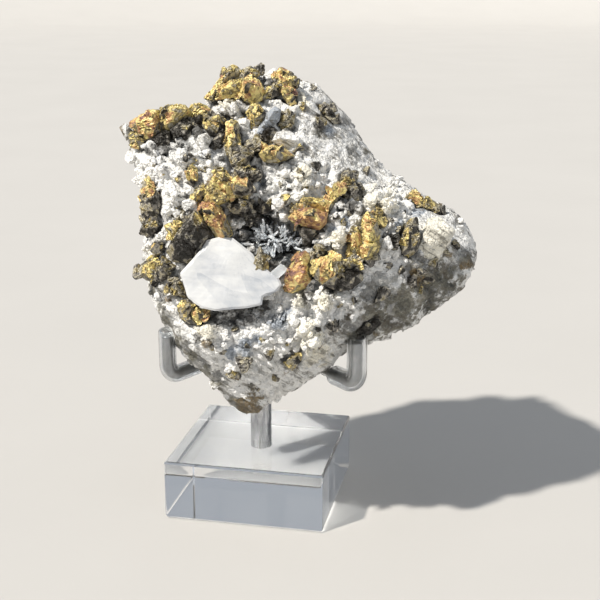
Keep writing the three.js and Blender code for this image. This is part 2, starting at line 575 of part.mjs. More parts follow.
const rockWeights = (() => {
  const rows = measuredDirections.map((a) => [
    ...measuredDirections.map((b) => a.distanceTo(b)),
    1,
  ]);
  rows.push([...measuredDirections.map(() => 1), 0]);
  return solveLinear(rows, [...measuredRadii, 0]);
})();

const breaks = BREAKS.map(({ facing, distance }) => ({
  normal: new THREE.Vector3(...facing).normalize(),
  distance,
}));

function rockRadius(direction) {
  const smooth = measuredDirections.reduce(
    (sum, other, i) => sum + rockWeights[i] * direction.distanceTo(other),
    rockWeights[measuredDirections.length],
  );
  return breaks.reduce((radius, { normal, distance }) => {
    const towards = normal.dot(direction);
    return towards > 0 ? Math.min(radius, distance / towards) : radius;
  }, smooth);
}

// Depth at which the sight line through (u, v) meets the rock, or null beside it
function rockDepth(u, v) {
  const outside = (y) => {
    const offset = place(u, v, y).sub(ROCK_CENTRE);
    const radius = offset.length();
    return radius - rockRadius(offset.normalize());
  };
  for (let y = -60; y < 10; y += 1) {
    if (outside(y) <= 0) {
      let near = y - 1;
      let far = y;
      for (let k = 0; k < 8; k += 1) {
        const half = (near + far) / 2;
        if (outside(half) > 0) near = half;
        else far = half;
      }
      return far;
    }
  }
  return null;
}

function rockSolid() {
  const goldenAngle = Math.PI * (3 - Math.sqrt(5));
  const directions = measuredDirections.map((direction) => direction.clone());
  for (let i = 0; i < ROCK_POINTS; i += 1) {
    const share = (i + 0.5) / ROCK_POINTS;
    const forward = 1 - 2 * share ** FRONT_CROWDING;
    const aside = Math.sqrt(1 - forward * forward);
    const direction = new THREE.Vector3(
      aside * Math.cos(i * goldenAngle),
      -forward,
      aside * Math.sin(i * goldenAngle),
    );
    if (directions.every((other) => other.distanceTo(direction) > POINT_SPACING)) {
      directions.push(direction);
    }
  }
  const ball = new ConvexGeometry(directions);
  ball.deleteAttribute('normal');
  const geometry = mergeVertices(ball, 1e-5);
  const position = geometry.attributes.position;
  const corner = new THREE.Vector3();
  for (let i = 0; i < position.count; i += 1) {
    corner.fromBufferAttribute(position, i).normalize();
    const isMeasured = measuredDirections.some((other) => other.distanceTo(corner) < 1e-3);
    const rough = isMeasured ? 0 : ROCK_ROUGHNESS * Math.sin(goldenAngle * i * i);
    corner.multiplyScalar(rockRadius(corner) + rough).add(ROCK_CENTRE);
    position.setXYZ(i, corner.x, corner.y, corner.z);
  }
  return solidOf(geometry);
}

// Crystals: each is the hull of its outline, its front corners and its narrower root

const ROOT_WIDTH = 0.6;          // the root's width as a share of the outline's
const ROOT_EVERY = 3;            // the root has a corner below every third of the outline's
const SLOPE_SHARE = 0.5;         // how far a crystal leans with the rock under it
const SLOPE_LIMIT = 3;           // and the most that one corner may move for it, in mm

function crystalPoints({ outline, front, proud, root, at }) {
  const middle = middleOf(outline);
  const under = rockDepth(...middle);
  const base = at ?? under - proud;
  const rim = outline.map(([u, v]) => {
    const here = rockDepth(u, v) ?? under ?? base;
    const lean = THREE.MathUtils.clamp(
      SLOPE_SHARE * (here - (under ?? here)),
      -SLOPE_LIMIT,
      SLOPE_LIMIT,
    );
    return place(u, v, base + lean);
  });
  const tips = front.map(([u, v, rise]) => place(u, v, base - rise));
  const roots = outline
    .filter((_, i) => i % ROOT_EVERY === 0)
    .map((corner) => place(...drawnIn(corner, middle, 1 - ROOT_WIDTH), base + root));
  return [...rim, ...tips, ...roots];
}

// A frame on the rock's surface: its first axis points out, the others are turned about it
function seatOn({ facing, turn }) {
  const out = new THREE.Vector3(...facing).normalize();
  const side = new THREE.Vector3(0, 0, 1).cross(out).normalize();
  side.applyAxisAngle(out, THREE.MathUtils.degToRad(turn));
  return { out, side, up: out.clone().cross(side), foot: rockRadius(out) };
}

function onSeat({ out, side, up, foot }, size, [a, b, c]) {
  return ROCK_CENTRE.clone()
    .addScaledVector(out, foot + size * a)
    .addScaledVector(side, size * b)
    .addScaledVector(up, size * c);
}

// A four-sided wedge with cut corners, sunk to its waist
function sphenoidPoints(seat) {
  const frame = seatOn(seat);
  const ends = [[1, 1, 1], [1, -1, -1], [-1, 1, -1], [-1, -1, 1]];
  return ends.flatMap((end, i) => ends
    .filter((_, k) => k !== i)
    .map((other) => end.map((value, k) => value + 0.24 * (other[k] - value))))
    .map(([a, b, c]) => onSeat(frame, seat.size, [0.55 * a, b, 0.8 * c]));
}

// A leaning block with flat sides, sunk to its top third
function cleavedPoints(seat) {
  const frame = seatOn(seat);
  return [-1, 1].flatMap((a) => [-1, 1].flatMap((b) => [-1, 1].map((c) => onSeat(
    frame,
    seat.size,
    [0.34 * a - 0.16, b + 0.25 * a, 0.62 * c + 0.2 * b],
  ))));
}

function hull(points) {
  return solidOf(new ConvexGeometry(points));
}

// The hull's corners moved outwards until every face has moved by the gap. A sharp corner
// moves further than a blunt one, up to GAP / SHARPEST.
const SHARPEST = 0.3;
const SAME_FACE = 0.99;          // the cosine above which two triangles count as one face
const AWAY_STEPS = 24;

// The direction that leads away from all the faces at a corner as evenly as it can
function awayFrom(faces) {
  const out = faces.reduce((sum, face) => sum.add(face), new THREE.Vector3()).normalize();
  for (let k = 0; k < AWAY_STEPS; k += 1) {
    const worst = faces.reduce((a, b) => (b.dot(out) < a.dot(out) ? b : a));
    out.addScaledVector(worst, 1 / AWAY_STEPS).normalize();
  }
  return out;
}

function grown(points) {
  const { position, normal } = new ConvexGeometry(points).attributes;
  const corners = new Map();
  for (let i = 0; i < position.count; i += 1) {
    const corner = new THREE.Vector3().fromBufferAttribute(position, i);
    const key = corner.toArray().map((value) => value.toFixed(3)).join();
    if (!corners.has(key)) corners.set(key, { corner, faces: [] });
    const face = new THREE.Vector3().fromBufferAttribute(normal, i);
    const { faces } = corners.get(key);
    if (faces.every((other) => other.dot(face) < SAME_FACE)) faces.push(face);
  }
  return [...corners.values()].map(({ corner, faces }) => {
    const out = awayFrom(faces);
    const least = Math.min(...faces.map((face) => face.dot(out)));
    return corner.addScaledVector(out, GAP / Math.max(least, SHARPEST));
  });
}

function bladePoints({ outline, set, thick }) {
  const depth = (v) => BLADE_FOOT_DEPTH + BLADE_LEAN * (BLADE_FOOT - v) + set;
  return [
    ...outline.map(([u, v]) => place(u, v, depth(v))),
    ...outline.map(([u, v]) => place(u, v, depth(v) + thick)),
  ];
}

function ringAbout(middle, along, half) {
  const side = new THREE.Vector3(0, 0, 1).cross(along).normalize();
  const across = side.clone().cross(along).normalize();
  return Array.from({ length: NEEDLE_SIDES }, (_, k) => {
    const angle = (k / NEEDLE_SIDES) * 2 * Math.PI;
    return middle.clone()
      .addScaledVector(side, half * Math.cos(angle))
      .addScaledVector(across, half * Math.sin(angle));
  });
}

function needlePoints(root, [u, v, depth]) {
  const foot = place(...root, NEEDLE_ROOT_DEPTH);
  const end = place(u, v, depth);
  const along = end.clone().sub(foot);
  const shoulder = foot.clone().addScaledVector(along, NEEDLE_POINT);
  return [
    ...ringAbout(foot, along, NEEDLE_HALF * NEEDLE_FLARE),
    ...ringAbout(shoulder, along, NEEDLE_HALF),
    end,
  ];
}

// The lump that a bunch of needles grows from, reaching past its neighbour's root
function needleBedPoints(roots) {
  const { half, top } = NEEDLE_BED;
  return roots.flatMap(([u, v]) => [top, NEEDLE_ROOT_DEPTH + half].flatMap((depth) => {
    const middle = place(u, v, depth);
    return ringAbout(middle, new THREE.Vector3(0, 1, 0), half);
  }));
}

function hollowPoints({ outline, mouth, floor, narrowing }) {
  const middle = middleOf(outline);
  return [
    ...outline.map(([u, v]) => place(u, v, mouth)),
    ...outline.map((corner) => place(...drawnIn(corner, middle, 1 - narrowing), floor)),
  ];
}

// The stand

// A rod's centre line: out from the post, round a bend and straight up
class BentRodCurve extends THREE.Curve {
  constructor([x, y], tip, start) {
    super();
    const reach = Math.hypot(x, y);
    this.out = new THREE.Vector3(x / reach, y / reach, 0);
    this.bendStart = reach - BEND_RADIUS;
    this.start = start;
    this.tip = tip;
  }

  getPoint(t, target = new THREE.Vector3()) {
    const runEnd = 1 / ROD_STEPS;
    const bendEnd = 1 - 1 / ROD_STEPS;
    let reach = this.bendStart;
    let height = ROD_HEIGHT;
    if (t <= runEnd) {
      reach = THREE.MathUtils.lerp(this.start, this.bendStart, t / runEnd);
    } else {
      const turn = Math.min(1, (t - runEnd) / (bendEnd - runEnd)) * Math.PI / 2;
      reach += BEND_RADIUS * Math.sin(turn);
      height += BEND_RADIUS * (1 - Math.cos(turn));
      if (t > bendEnd) {
        const up = (t - bendEnd) / (1 - bendEnd);
        height = THREE.MathUtils.lerp(ROD_HEIGHT + BEND_RADIUS, this.tip, up);
      }
    }
    return target.copy(this.out).multiplyScalar(reach).setZ(height);
  }

  getPointAt(t, target) {
    return this.getPoint(t, target);
  }

  getTangentAt(t, target = new THREE.Vector3()) {
    const turn = THREE.MathUtils.clamp(
      (t - 1 / ROD_STEPS) / (1 - 2 / ROD_STEPS),
      0,
      1,
    ) * Math.PI / 2;
    return target.copy(this.out).multiplyScalar(Math.cos(turn)).setZ(Math.sin(turn));
  }
}

function roundSection(radius, boreRadius = 0) {
  const ring = (r) => Array.from({ length: ROD_SIDES }, (_, k) => {
    const angle = (k / ROD_SIDES) * 2 * Math.PI;
    return new THREE.Vector2(r * Math.cos(angle), r * Math.sin(angle));
  });
  const shape = new THREE.Shape(ring(radius));
  if (boreRadius > 0) shape.holes.push(new THREE.Path(ring(boreRadius).reverse()));
  return shape;
}

function tubeAlong(curve, shape) {
  return new THREE.ExtrudeGeometry(shape, { extrudePath: curve, steps: ROD_STEPS });
}

function rodGeometry({ corner, tip }, extra = 0) {
  const curve = new BentRodCurve(corner, tip + extra, POST_RADIUS + GAP);
  return tubeAlong(curve, roundSection(ROD_RADIUS + extra));
}

function sleeveGeometry({ corner, tip, sleeve, start }, extra = 0) {
  const from = Math.hypot(...corner) * start - extra;
  const curve = new BentRodCurve(corner, tip + SLEEVE_PROUD + extra, from);
  const bore = extra > 0 ? 0 : ROD_RADIUS + GAP;
  return tubeAlong(curve, roundSection(sleeve + extra, bore));
}

function postGeometry(extra = 0) {
  const r = POST_RADIUS + extra;
  const low = BLOCK_HEIGHT - POST_SOCKET + GAP - extra;
  const high = POST_TOP + extra;
  const profile = [
    [0, low], [r - POST_CHAMFER, low], [r, low + POST_CHAMFER],
    [r, high - POST_CHAMFER], [r - POST_CHAMFER, high], [0, high],
  ].map(([x, y]) => new THREE.Vector2(x, y));
  return new THREE.LatheGeometry(profile, POST_SIDES).rotateX(Math.PI / 2);
}

function blockGeometry() {
  const side = BLOCK_SIDE / 2 - BLOCK_CHAMFER;
  const cut = BLOCK_CHAMFER;
  const square = new THREE.Shape([
    [side - cut, -side], [side, cut - side], [side, side - cut], [side - cut, side],
    [cut - side, side], [-side, side - cut], [-side, cut - side], [cut - side, -side],
  ].map(([x, y]) => new THREE.Vector2(x, y)));
  return new THREE.ExtrudeGeometry(square, {
    depth: BLOCK_HEIGHT - 2 * BLOCK_CHAMFER,
    bevelEnabled: true,
    bevelSegments: 1,
    bevelSize: BLOCK_CHAMFER,
    bevelThickness: BLOCK_CHAMFER,
  }).translate(0, 0, BLOCK_CHAMFER);
}

// Assembly

const specimen = new THREE.Group();
const head = new THREE.Group();
head.rotation.z = THREE.MathUtils.degToRad(HEAD_TURN);
specimen.add(head);

const block = solidOf(blockGeometry()).subtract(solidOf(postGeometry(GAP)));
specimen.add(named('acrylic_block', geometryOf(block), 'acrylic'));
specimen.add(named('post', postGeometry(), 'steel'));

const standRoom = [solidOf(postGeometry(GAP))];
for (const rod of RODS) {
  head.add(named(`${rod.name}_rod`, rodGeometry(rod), 'darkSteel'));
  head.add(named(`${rod.name}_sleeve`, sleeveGeometry(rod), 'sleeve'));
  standRoom.push(solidOf(rodGeometry(rod, GAP)), solidOf(sleeveGeometry(rod, GAP)));
}

// Each cluster makes room for the clusters before it, and the rock makes room for them all
let taken = join(standRoom);

function addGrown(name, pointLists, finish) {
  const body = largestBody(join(pointLists.map(hull)).subtract(taken));
  head.add(named(name, geometryOf(body), finish));
  taken = taken.add(join(pointLists.map((points) => hull(grown(points)))));
}

for (const [name, crystals] of Object.entries(CHALCOPYRITE)) {
  addGrown(`chalcopyrite_${name}`, crystals.map(crystalPoints), 'chalcopyrite');
}
for (const seat of BACK_CRYSTALS) {
  addGrown(`chalcopyrite_${seat.name}`, [sphenoidPoints(seat)], 'chalcopyrite');
}
addGrown('calcite_blade', BLADE_LAYERS.map(bladePoints), 'calcite');

// The needles stand free in the pocket, so only their bed needs room in the rock
const needleBed = needleBedPoints(NEEDLE_BUNCHES.map(({ root }) => root));
const needles = NEEDLE_BUNCHES.flatMap(
  ({ root, tips }) => tips.map((tip) => hull(needlePoints(root, tip))),
);
const crust = largestBody(join([hull(needleBed), ...needles]).subtract(taken));
head.add(named('quartz_needles', geometryOf(crust), 'quartz'));
taken = taken.add(hull(grown(needleBed)));

const lumps = [
  ...WHITE_BLOCKS.map(crystalPoints),
  ...BACK_STEPS.map(cleavedPoints),
].map(hull);
const rock = largestBody(
  join([rockSolid(), ...lumps])
    .subtract(join(HOLLOWS.map((hollow) => hull(hollowPoints(hollow)))))
    .subtract(taken),
);
head.add(named('matrix', geometryOf(rock), 'rock'));

export default specimen;
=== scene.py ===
# %% [markdown]
# # A chalcopyrite specimen on its stand
# A lump of white calcite and quartz carries brass-coloured chalcopyrite crystals, a white calcite
# blade and a pocket of clear quartz needles. It rests on bent rods over a clear block. The packed
# CAD part is loaded first as a fixed frame, and every piece below is made to fit on it.

# %% Load the frame
import itertools
import math

import bpy
import numpy as np
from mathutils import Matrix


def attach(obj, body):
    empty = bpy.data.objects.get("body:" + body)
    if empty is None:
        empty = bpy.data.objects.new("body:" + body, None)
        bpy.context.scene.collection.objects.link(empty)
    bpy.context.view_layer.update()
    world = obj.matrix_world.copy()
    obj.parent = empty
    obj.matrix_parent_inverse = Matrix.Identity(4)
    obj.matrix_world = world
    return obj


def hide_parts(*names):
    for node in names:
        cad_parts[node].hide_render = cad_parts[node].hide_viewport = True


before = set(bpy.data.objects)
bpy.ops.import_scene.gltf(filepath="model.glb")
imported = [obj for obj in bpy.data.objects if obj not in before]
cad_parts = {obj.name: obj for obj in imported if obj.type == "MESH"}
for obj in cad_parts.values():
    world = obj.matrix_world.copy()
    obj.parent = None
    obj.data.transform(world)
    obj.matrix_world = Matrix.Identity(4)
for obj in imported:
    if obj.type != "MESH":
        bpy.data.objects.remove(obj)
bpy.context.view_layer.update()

# %% [markdown]
# ## The front view
# Crystals are placed as they are seen: each has a place (u, v) on a sheet of 600 by 600 steps in
# front of the eye, and a depth y in millimetres behind the post's axis. A line from the eye
# through the place meets that depth in one point. The rock and the rods are turned a little on
# the block, so points are worked out in their own turned axes, in millimetres, and are turned
# and scaled to metres when they go into a mesh.

# %% The eye and the sheet
HEAD_TURN = math.radians(11.9)
EYE = np.array([12.75, -351.4, 169.0])
SHEET_CENTRE = 300
SHEET_DISTANCE = 1150.8
SHEET_SIZE = 600
LOOK_DOWN = math.radians(16.3)
MM = 0.001


def place(u, v, y):
    """The point where the line from the eye through (u, v) reaches depth y. Whole arrays."""
    u, v, y = np.broadcast_arrays(np.asarray(u, float), np.asarray(v, float), np.asarray(y, float))
    right = u - SHEET_CENTRE
    up = SHEET_CENTRE - v
    line = np.stack([
        right,
        SHEET_DISTANCE * math.cos(LOOK_DOWN) + up * math.sin(LOOK_DOWN),
        up * math.cos(LOOK_DOWN) - SHEET_DISTANCE * math.sin(LOOK_DOWN),
    ], axis=-1)
    return EYE + line * ((y - EYE[1]) / line[..., 1])[..., None]


def seen_at(points):
    """The place (u, v) where each point is seen: its offset from the eye, split into right, up and
    forward, and scaled so that forward is the sheet's distance."""
    offset = points - EYE
    forward = offset[:, 1] * math.cos(LOOK_DOWN) - offset[:, 2] * math.sin(LOOK_DOWN)
    up = offset[:, 1] * math.sin(LOOK_DOWN) + offset[:, 2] * math.cos(LOOK_DOWN)
    scale = SHEET_DISTANCE / forward
    return SHEET_CENTRE + offset[:, 0] * scale, SHEET_CENTRE - up * scale


def in_frame(points, turned=True):
    """Millimetres to metres, and from the rock's turned axes to the block's own."""
    points = np.asarray(points, float) * MM
    if not turned:
        return points
    c, s = math.cos(HEAD_TURN), math.sin(HEAD_TURN)
    return points @ np.array([[c, s, 0], [-s, c, 0], [0, 0, 1]])


print("the post's foot is seen at", np.round(seen_at(np.zeros((1, 3))), 1).ravel())

# %% [markdown]
# ## Camera and light
# The camera stands at the eye. A strong soft lamp at the upper left makes the crystal faces flash
# and throws shadows to the right, and a weak one on the right and a pale sky keep the shadows
# open.

# %% Camera
SENSOR = 36.0
camera_data = bpy.data.cameras.new("camera")
camera_data.sensor_width = SENSOR
camera_data.lens = SENSOR * SHEET_DISTANCE / SHEET_SIZE
camera_data.clip_start = 0.01
camera = bpy.data.objects.new("camera", camera_data)
camera.location = in_frame(EYE[None])[0]
camera.rotation_euler = (math.pi / 2 - LOOK_DOWN, 0, HEAD_TURN)
bpy.context.scene.collection.objects.link(camera)
bpy.context.scene.camera = camera
print("lens", round(camera_data.lens, 2), "mm")

# %% Lamps and sky
ROCK_CENTRE = np.array([12.0, -4.0, 88.0])


def sun(name, towards, strength, width, colour):
    """A far lamp that shines from a direction; its width in degrees softens the shadows."""
    data = bpy.data.lights.new(name, "SUN")
    data.energy = strength
    data.angle = math.radians(width)
    data.color = colour
    made = bpy.data.objects.new(name, data)
    aim = in_frame(-np.array([towards], float))[0]
    made.rotation_euler = (math.acos(-aim[2] / np.linalg.norm(aim)), 0, math.atan2(-aim[0], aim[1]))
    bpy.context.scene.collection.objects.link(made)


sun("key lamp", (-0.54, -0.39, 0.75), 4.7, 2.5, (1.0, 0.95, 0.87))
sun("fill lamp", (0.8, -0.9, 0.3), 0.4, 60, (0.9, 0.95, 1.0))

sky = bpy.data.worlds.new("pale sky")
sky.use_nodes = True
sky.node_tree.nodes["Background"].inputs["Color"].default_value = (0.84, 0.9, 0.98, 1)
sky.node_tree.nodes["Background"].inputs["Strength"].default_value = 0.45
bpy.context.scene.world = sky
bpy.context.scene.view_settings.view_transform = "Standard"

# %% [markdown]
# ## Materials
# Every finish is worked out from noise and ramps on object coordinates, plus a few numbers that
# each piece's own points carry: how deep in a crease a point lies, which sets painted shade, and
# how tarnished its facet is, with painted shade at the dark end.
# These helpers keep the recipes short.

# %% Shader helpers


def colour(red, green, blue):
    """A screen colour, 0 to 255, as the linear light that a shader works with."""
    share = np.array([red, green, blue]) / 255
    linear = np.where(share < 0.04045, share / 12.92, ((share + 0.055) / 1.055) ** 2.4)
    return (*linear.tolist(), 1.0)


class Value:
    """What a node gives, changing over the surface. Sums on it become nodes as well."""

    def __init__(self, socket):
        self.socket = socket
        self.tree = socket.id_data

    def __add__(self, other):
        return add(self.tree, "Math", {0: self, 1: other}, operation="ADD")

    def __sub__(self, other):
        return add(self.tree, "Math", {0: self, 1: other}, operation="SUBTRACT")

    def __rsub__(self, other):
        return add(self.tree, "Math", {0: other, 1: self}, operation="SUBTRACT")

    def __mul__(self, other):
        return add(self.tree, "Math", {0: self, 1: other}, operation="MULTIPLY")

    def __abs__(self):
        return add(self.tree, "Math", {0: self}, operation="ABSOLUTE")


def fill(sockets, inputs):
    """Links each named input to a Value, or sets it to a plain number or colour."""
    for key, value in inputs.items():
        socket = sockets[key]
        if isinstance(value, Value):
            socket.id_data.links.new(value.socket, socket)
        else:
            socket.default_value = value


def add(tree, kind, inputs=None, output=0, **settings):
    """A new shader node with its settings and inputs, and the Value of one of its outputs."""
    made = tree.nodes.new("ShaderNode" + kind)
    for key, value in settings.items():
        setattr(made, key, value)
    fill(made.inputs, inputs or {})
    return Value(made.outputs[output])


def set_inputs(shader, **inputs):
    """Sets or links the shader's inputs; an underscore in a name stands for a space."""
    fill(shader.inputs, {key.replace("_", " "): value for key, value in inputs.items()})


def ramp(factor, *stops):
    """A colour for each factor, blended between stops of place, red, green and blue."""
    made = add(factor.tree, "ValToRGB", {"Fac": factor})
    elements = made.socket.node.color_ramp.elements
    for element, stop in zip((elements[0], elements[1]), (stops[0], stops[-1])):
        element.position = stop[0]
        element.color = colour(*stop[1:])
    for position, *shade in stops[1:-1]:
        elements.new(position).color = colour(*shade)
    return made


def place_on(tree, stretch=None, turn=(0, 0, 0), kind="POINT"):
    """Object coordinates. With kind POINT a stretch below 1 along an axis draws a pattern out
    there; with kind TEXTURE a stretch above 1 does, along the turned axis."""
    where = add(tree, "TexCoord", output="Object")
    if stretch is None:
        return where
    return add(tree, "Mapping", {"Vector": where, "Rotation": turn, "Scale": stretch}, vector_type=kind)


def noise(tree, scale, detail=3.0, roughness=0.55, where=None):
    """Cloudy noise on object coordinates, or on coordinates that are given."""
    return add(tree, "TexNoise", {
        "Vector": where or place_on(tree), "Scale": scale, "Detail": detail, "Roughness": roughness,
    })


def streaks_down(tree, scale):
    """Cloudy noise drawn out eightfold down to the right, along the rock's slope."""
    return noise(tree, scale, 3.0, 0.6, place_on(tree, (8, 1, 1), (0, 0.616, 0.518), "TEXTURE"))


def cells(tree, scale, where=None, distance="CHEBYCHEV"):
    """Small blocks, each a pyramid with a square foot, as the height, and a random number for each
    block. With EUCLIDEAN distance the pyramids are round."""
    height = add(tree, "TexVoronoi", {"Vector": where or place_on(tree), "Scale": scale}, distance=distance)
    return height, Value(height.socket.node.outputs["Color"])


def point_value(tree, name):
    """The number that each of the piece's points carries under that name."""
    return add(tree, "Attribute", output="Fac", attribute_name=name)


def spread(value, low, high, to_low=0.0, to_high=1.0):
    """Stretches low..high to to_low..to_high and clips beyond."""
    return add(value.tree, "MapRange", {
        "Value": value, "From Min": low, "From Max": high, "To Min": to_low, "To Max": to_high,
    })


def blend(share, first, second):
    """Two colours mixed by a share that changes over the surface."""
    return add(share.tree, "Mix", {0: share, 6: first, 7: second}, output=2, data_type="RGBA")


def bump(height, strength, distance):
    """Fine relief for the shading alone. distance is in metres."""
    return add(height.tree, "Bump", {"Height": height, "Strength": strength, "Distance": distance})


def finish(name, recipe):
    """A material whose tree is filled in by a recipe(tree, surface shader)."""
    material = bpy.data.materials.new(name)
    material.use_nodes = True
    recipe(material.node_tree, material.node_tree.nodes["Principled BSDF"])
    return material


def let_lamps_through(tree, shader):
    """Rays that go from a surface to a lamp pass a clear piece straight, so that what lies behind
    or under it is lit. All other rays meet the shader."""
    straight = add(tree, "BsdfTransparent", {"Color": (0.5, 0.52, 0.54, 1)})
    to_lamp = add(tree, "LightPath", output="Is Shadow Ray")
    both = add(tree, "MixShader", {0: to_lamp, 1: Value(shader.outputs[0]), 2: straight})
    fill(tree.nodes["Material Output"].inputs, {"Surface": both})


def two_tones(scale, low, high, rough, stretch=None, clear=False, detail=3.0, grain=0.6,
              start=0.3, **inputs):
    """The recipe of a plain finish: two close colours, mottled by one noise, which also sets how
    rough the surface is. rough is a number or the two ends of a span."""

    def recipe(tree, shader):
        haze = noise(tree, scale, detail, grain, place_on(tree, stretch))
        roughness = spread(haze, start, 0.7, *rough) if isinstance(rough, tuple) else rough
        set_inputs(shader, Base_Color=ramp(haze, (0.3, *low), (0.7, *high)), Roughness=roughness, **inputs)
        if clear:
            let_lamps_through(tree, shader)

    return recipe

# %% [markdown]
# ## Meshes from arrays
# A piece is a table of points and a table of faces. foreach_set copies whole tables into the
# mesh at once, which is far quicker than adding faces one by one.

# %% Tables to mesh


def mesh_from(name, points, face_tables, values=None, smooth=True):
    """Faces are tables of 3 or 4 corners a row. values are numbers for each point, by name."""
    corners = np.concatenate([table.ravel() for table in face_tables]).astype(np.int32)
    sizes = np.concatenate([np.full(len(table), table.shape[1]) for table in face_tables])
    starts = np.concatenate([[0], np.cumsum(sizes)[:-1]]).astype(np.int32)
    mesh = bpy.data.meshes.new(name)
    mesh.vertices.add(len(points))
    mesh.vertices.foreach_set("co", np.asarray(points, np.float32).ravel())
    mesh.loops.add(len(corners))
    mesh.loops.foreach_set("vertex_index", corners)
    mesh.polygons.add(len(sizes))
    mesh.polygons.foreach_set("loop_start", starts)
    mesh.polygons.foreach_set("use_smooth", np.full(len(sizes), smooth))
    for key, table in (values or {}).items():
        made = mesh.attributes.new(key, "FLOAT", "POINT")
        made.data.foreach_set("value", np.asarray(table, np.float32))
    mesh.update(calc_edges=True)
    return mesh


def object_of(name, mesh, material):
    """An object at the origin that shows a mesh in one material."""
    mesh.materials.append(material)
    made = bpy.data.objects.new(name, mesh)
    bpy.context.scene.collection.objects.link(made)
    return made


def joined(shapes):
    """One shape from many: the points are stacked, and each shape's corners are counted on from
    the points before it."""
    counts = [len(points) for points, _, _ in shapes]
    before = np.concatenate([[0], np.cumsum(counts)[:-1]]).astype(int)
    points = np.concatenate([points for points, _, _ in shapes])
    tables = {}
    for start, (_, face_tables, _) in zip(before, shapes):
        for table in face_tables:
            tables.setdefault(table.shape[1], []).append(table + start)
    values = {key: np.concatenate([own[key] for _, _, own in shapes]) for key in shapes[0][2]}
    return points, [np.concatenate(rows) for rows in tables.values()], values


def piece(name, shapes, material, replaces=(), smooth=True, turned=True):
    """Joins shapes of (points, face tables, values) into one piece that rides on the stand."""
    points, tables, values = joined(shapes)
    made = object_of(name, mesh_from(name, in_frame(points, turned), tables, values, smooth), material)
    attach(made, "root")
    if replaces:
        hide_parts(*replaces)
    triangles = sum(len(table) * (table.shape[1] - 2) for table in tables)
    print(f"{name}: {len(points)} points, {triangles} triangles")


def grid_squares(rows, columns, wrap=False):
    """Corners of the squares of a grid of points that are numbered row by row. wrap joins the last
    column to the first."""
    i, j = np.meshgrid(np.arange(rows - 1), np.arange(columns if wrap else columns - 1), indexing="ij")
    here = (i * columns + j).ravel()
    beside = (i * columns + (j + 1) % columns).ravel()
    return np.stack([here, here + columns, beside + columns, beside], axis=1)


def closed(rings, first, last, flipped=False):
    """A stack of rings of points, closed by a fan of triangles to a middle point at each end. The
    faces point outwards where the rings run anticlockwise seen against the stack, or flipped."""
    count, sides = rings.shape[:2]
    k = np.arange(sides)
    after = (k + 1) % sides
    top = (count - 1) * sides
    middle = np.full(sides, count * sides)
    fans = np.concatenate([
        np.stack([after, k, middle], axis=1), np.stack([top + k, top + after, middle + 1], axis=1),
    ])
    squares = grid_squares(count, sides, wrap=True)
    tables = [squares, fans[:, ::-1]] if flipped else [squares[:, [0, 3, 2, 1]], fans]
    return np.concatenate([rings.reshape(-1, 3), [first, last]]), tables, {}


def spun(radius, height, sides):
    """A profile spun round the upright axis: rings of (radius · cos, radius · sin, height)."""
    turn = np.arange(sides) / sides * 2 * math.pi
    upright = np.broadcast_to(height[:, None], (len(height), sides))
    return np.stack([radius[:, None] * np.cos(turn), radius[:, None] * np.sin(turn), upright], axis=-1)


def merged(points, squares, fineness):
    """Points that fall together once they are multiplied by the fineness and rounded are one."""
    _, kept, where = np.unique(np.round(points * fineness).astype(int), axis=0,
                               return_index=True, return_inverse=True)
    return points[kept], where.reshape(-1)[squares]


print("a grid of 3 by 3 points has", len(grid_squares(3, 3)), "squares")

# %% [markdown]
# ## Floor
# A studio dish: flat under the stand, then bent up all round far away, so that no horizon line
# shows from any side. It is a profile spun round, with a fan of triangles in the middle.

# %% The dish
DISH_FLAT = 3.0
DISH_RISE = 1.0
DISH_SIDES = 128
FLOOR_GAP = 0.0003               # air under the clear block, as under a real one


def dish():
    """Rings of growing radius on the flat, then round a quarter circle and up."""
    angle = np.linspace(0, math.pi / 2, 16)
    radius = np.concatenate([[0.3, 1.0, 2.0], DISH_FLAT + DISH_RISE * np.sin(angle)])
    height = np.concatenate([np.zeros(3), DISH_RISE * (1 - np.cos(angle))]) - FLOOR_GAP
    k = np.arange(DISH_SIDES)
    fan = np.stack([k, (k + 1) % DISH_SIDES, np.full(DISH_SIDES, len(radius) * DISH_SIDES)], axis=1)
    points = np.concatenate([spun(radius, height, DISH_SIDES).reshape(-1, 3), [[0, 0, -FLOOR_GAP]]])
    return points, [grid_squares(len(radius), DISH_SIDES, wrap=True), fan]


pale = finish("pale floor", two_tones(9.0, (190, 188, 185), (193, 191, 188), 0.75, detail=5.0, grain=0.55))
floor = object_of("floor", mesh_from("floor", *dish()), pale)
print("floor points:", len(floor.data.vertices))

# %% [markdown]
# ## Noise
# Stone is rough at every size. Two kinds of noise do most of it. Smooth noise blends random
# numbers between the corners of a lattice. Grains give each lattice cell one random centre, and
# the distances to the nearest two say how far inside a grain a point is and where two grains
# meet, which is how crusts of small crystals bulge and crease.

# %% Noise on points


def lattice_random(cell, seed):
    """A number from 0 to 1 for each lattice cell: its three whole numbers are multiplied by large
    odd numbers, mixed together and shuffled."""
    whole = cell.astype(np.int64)
    mixed = (whole[:, 0] * 73856093) ^ (whole[:, 1] * 19349663) ^ (whole[:, 2] * 83492791)
    mixed = mixed ^ (seed * 2654435761 & 0xFFFFFFFF)
    mixed = (mixed ^ (mixed >> 13)) * 1274126177 & 0xFFFFFFFF
    mixed = (mixed ^ (mixed >> 15)) * 2246822519 & 0xFFFFFFFF
    return ((mixed ^ (mixed >> 13)) & 0xFFFFFF) / 0xFFFFFF


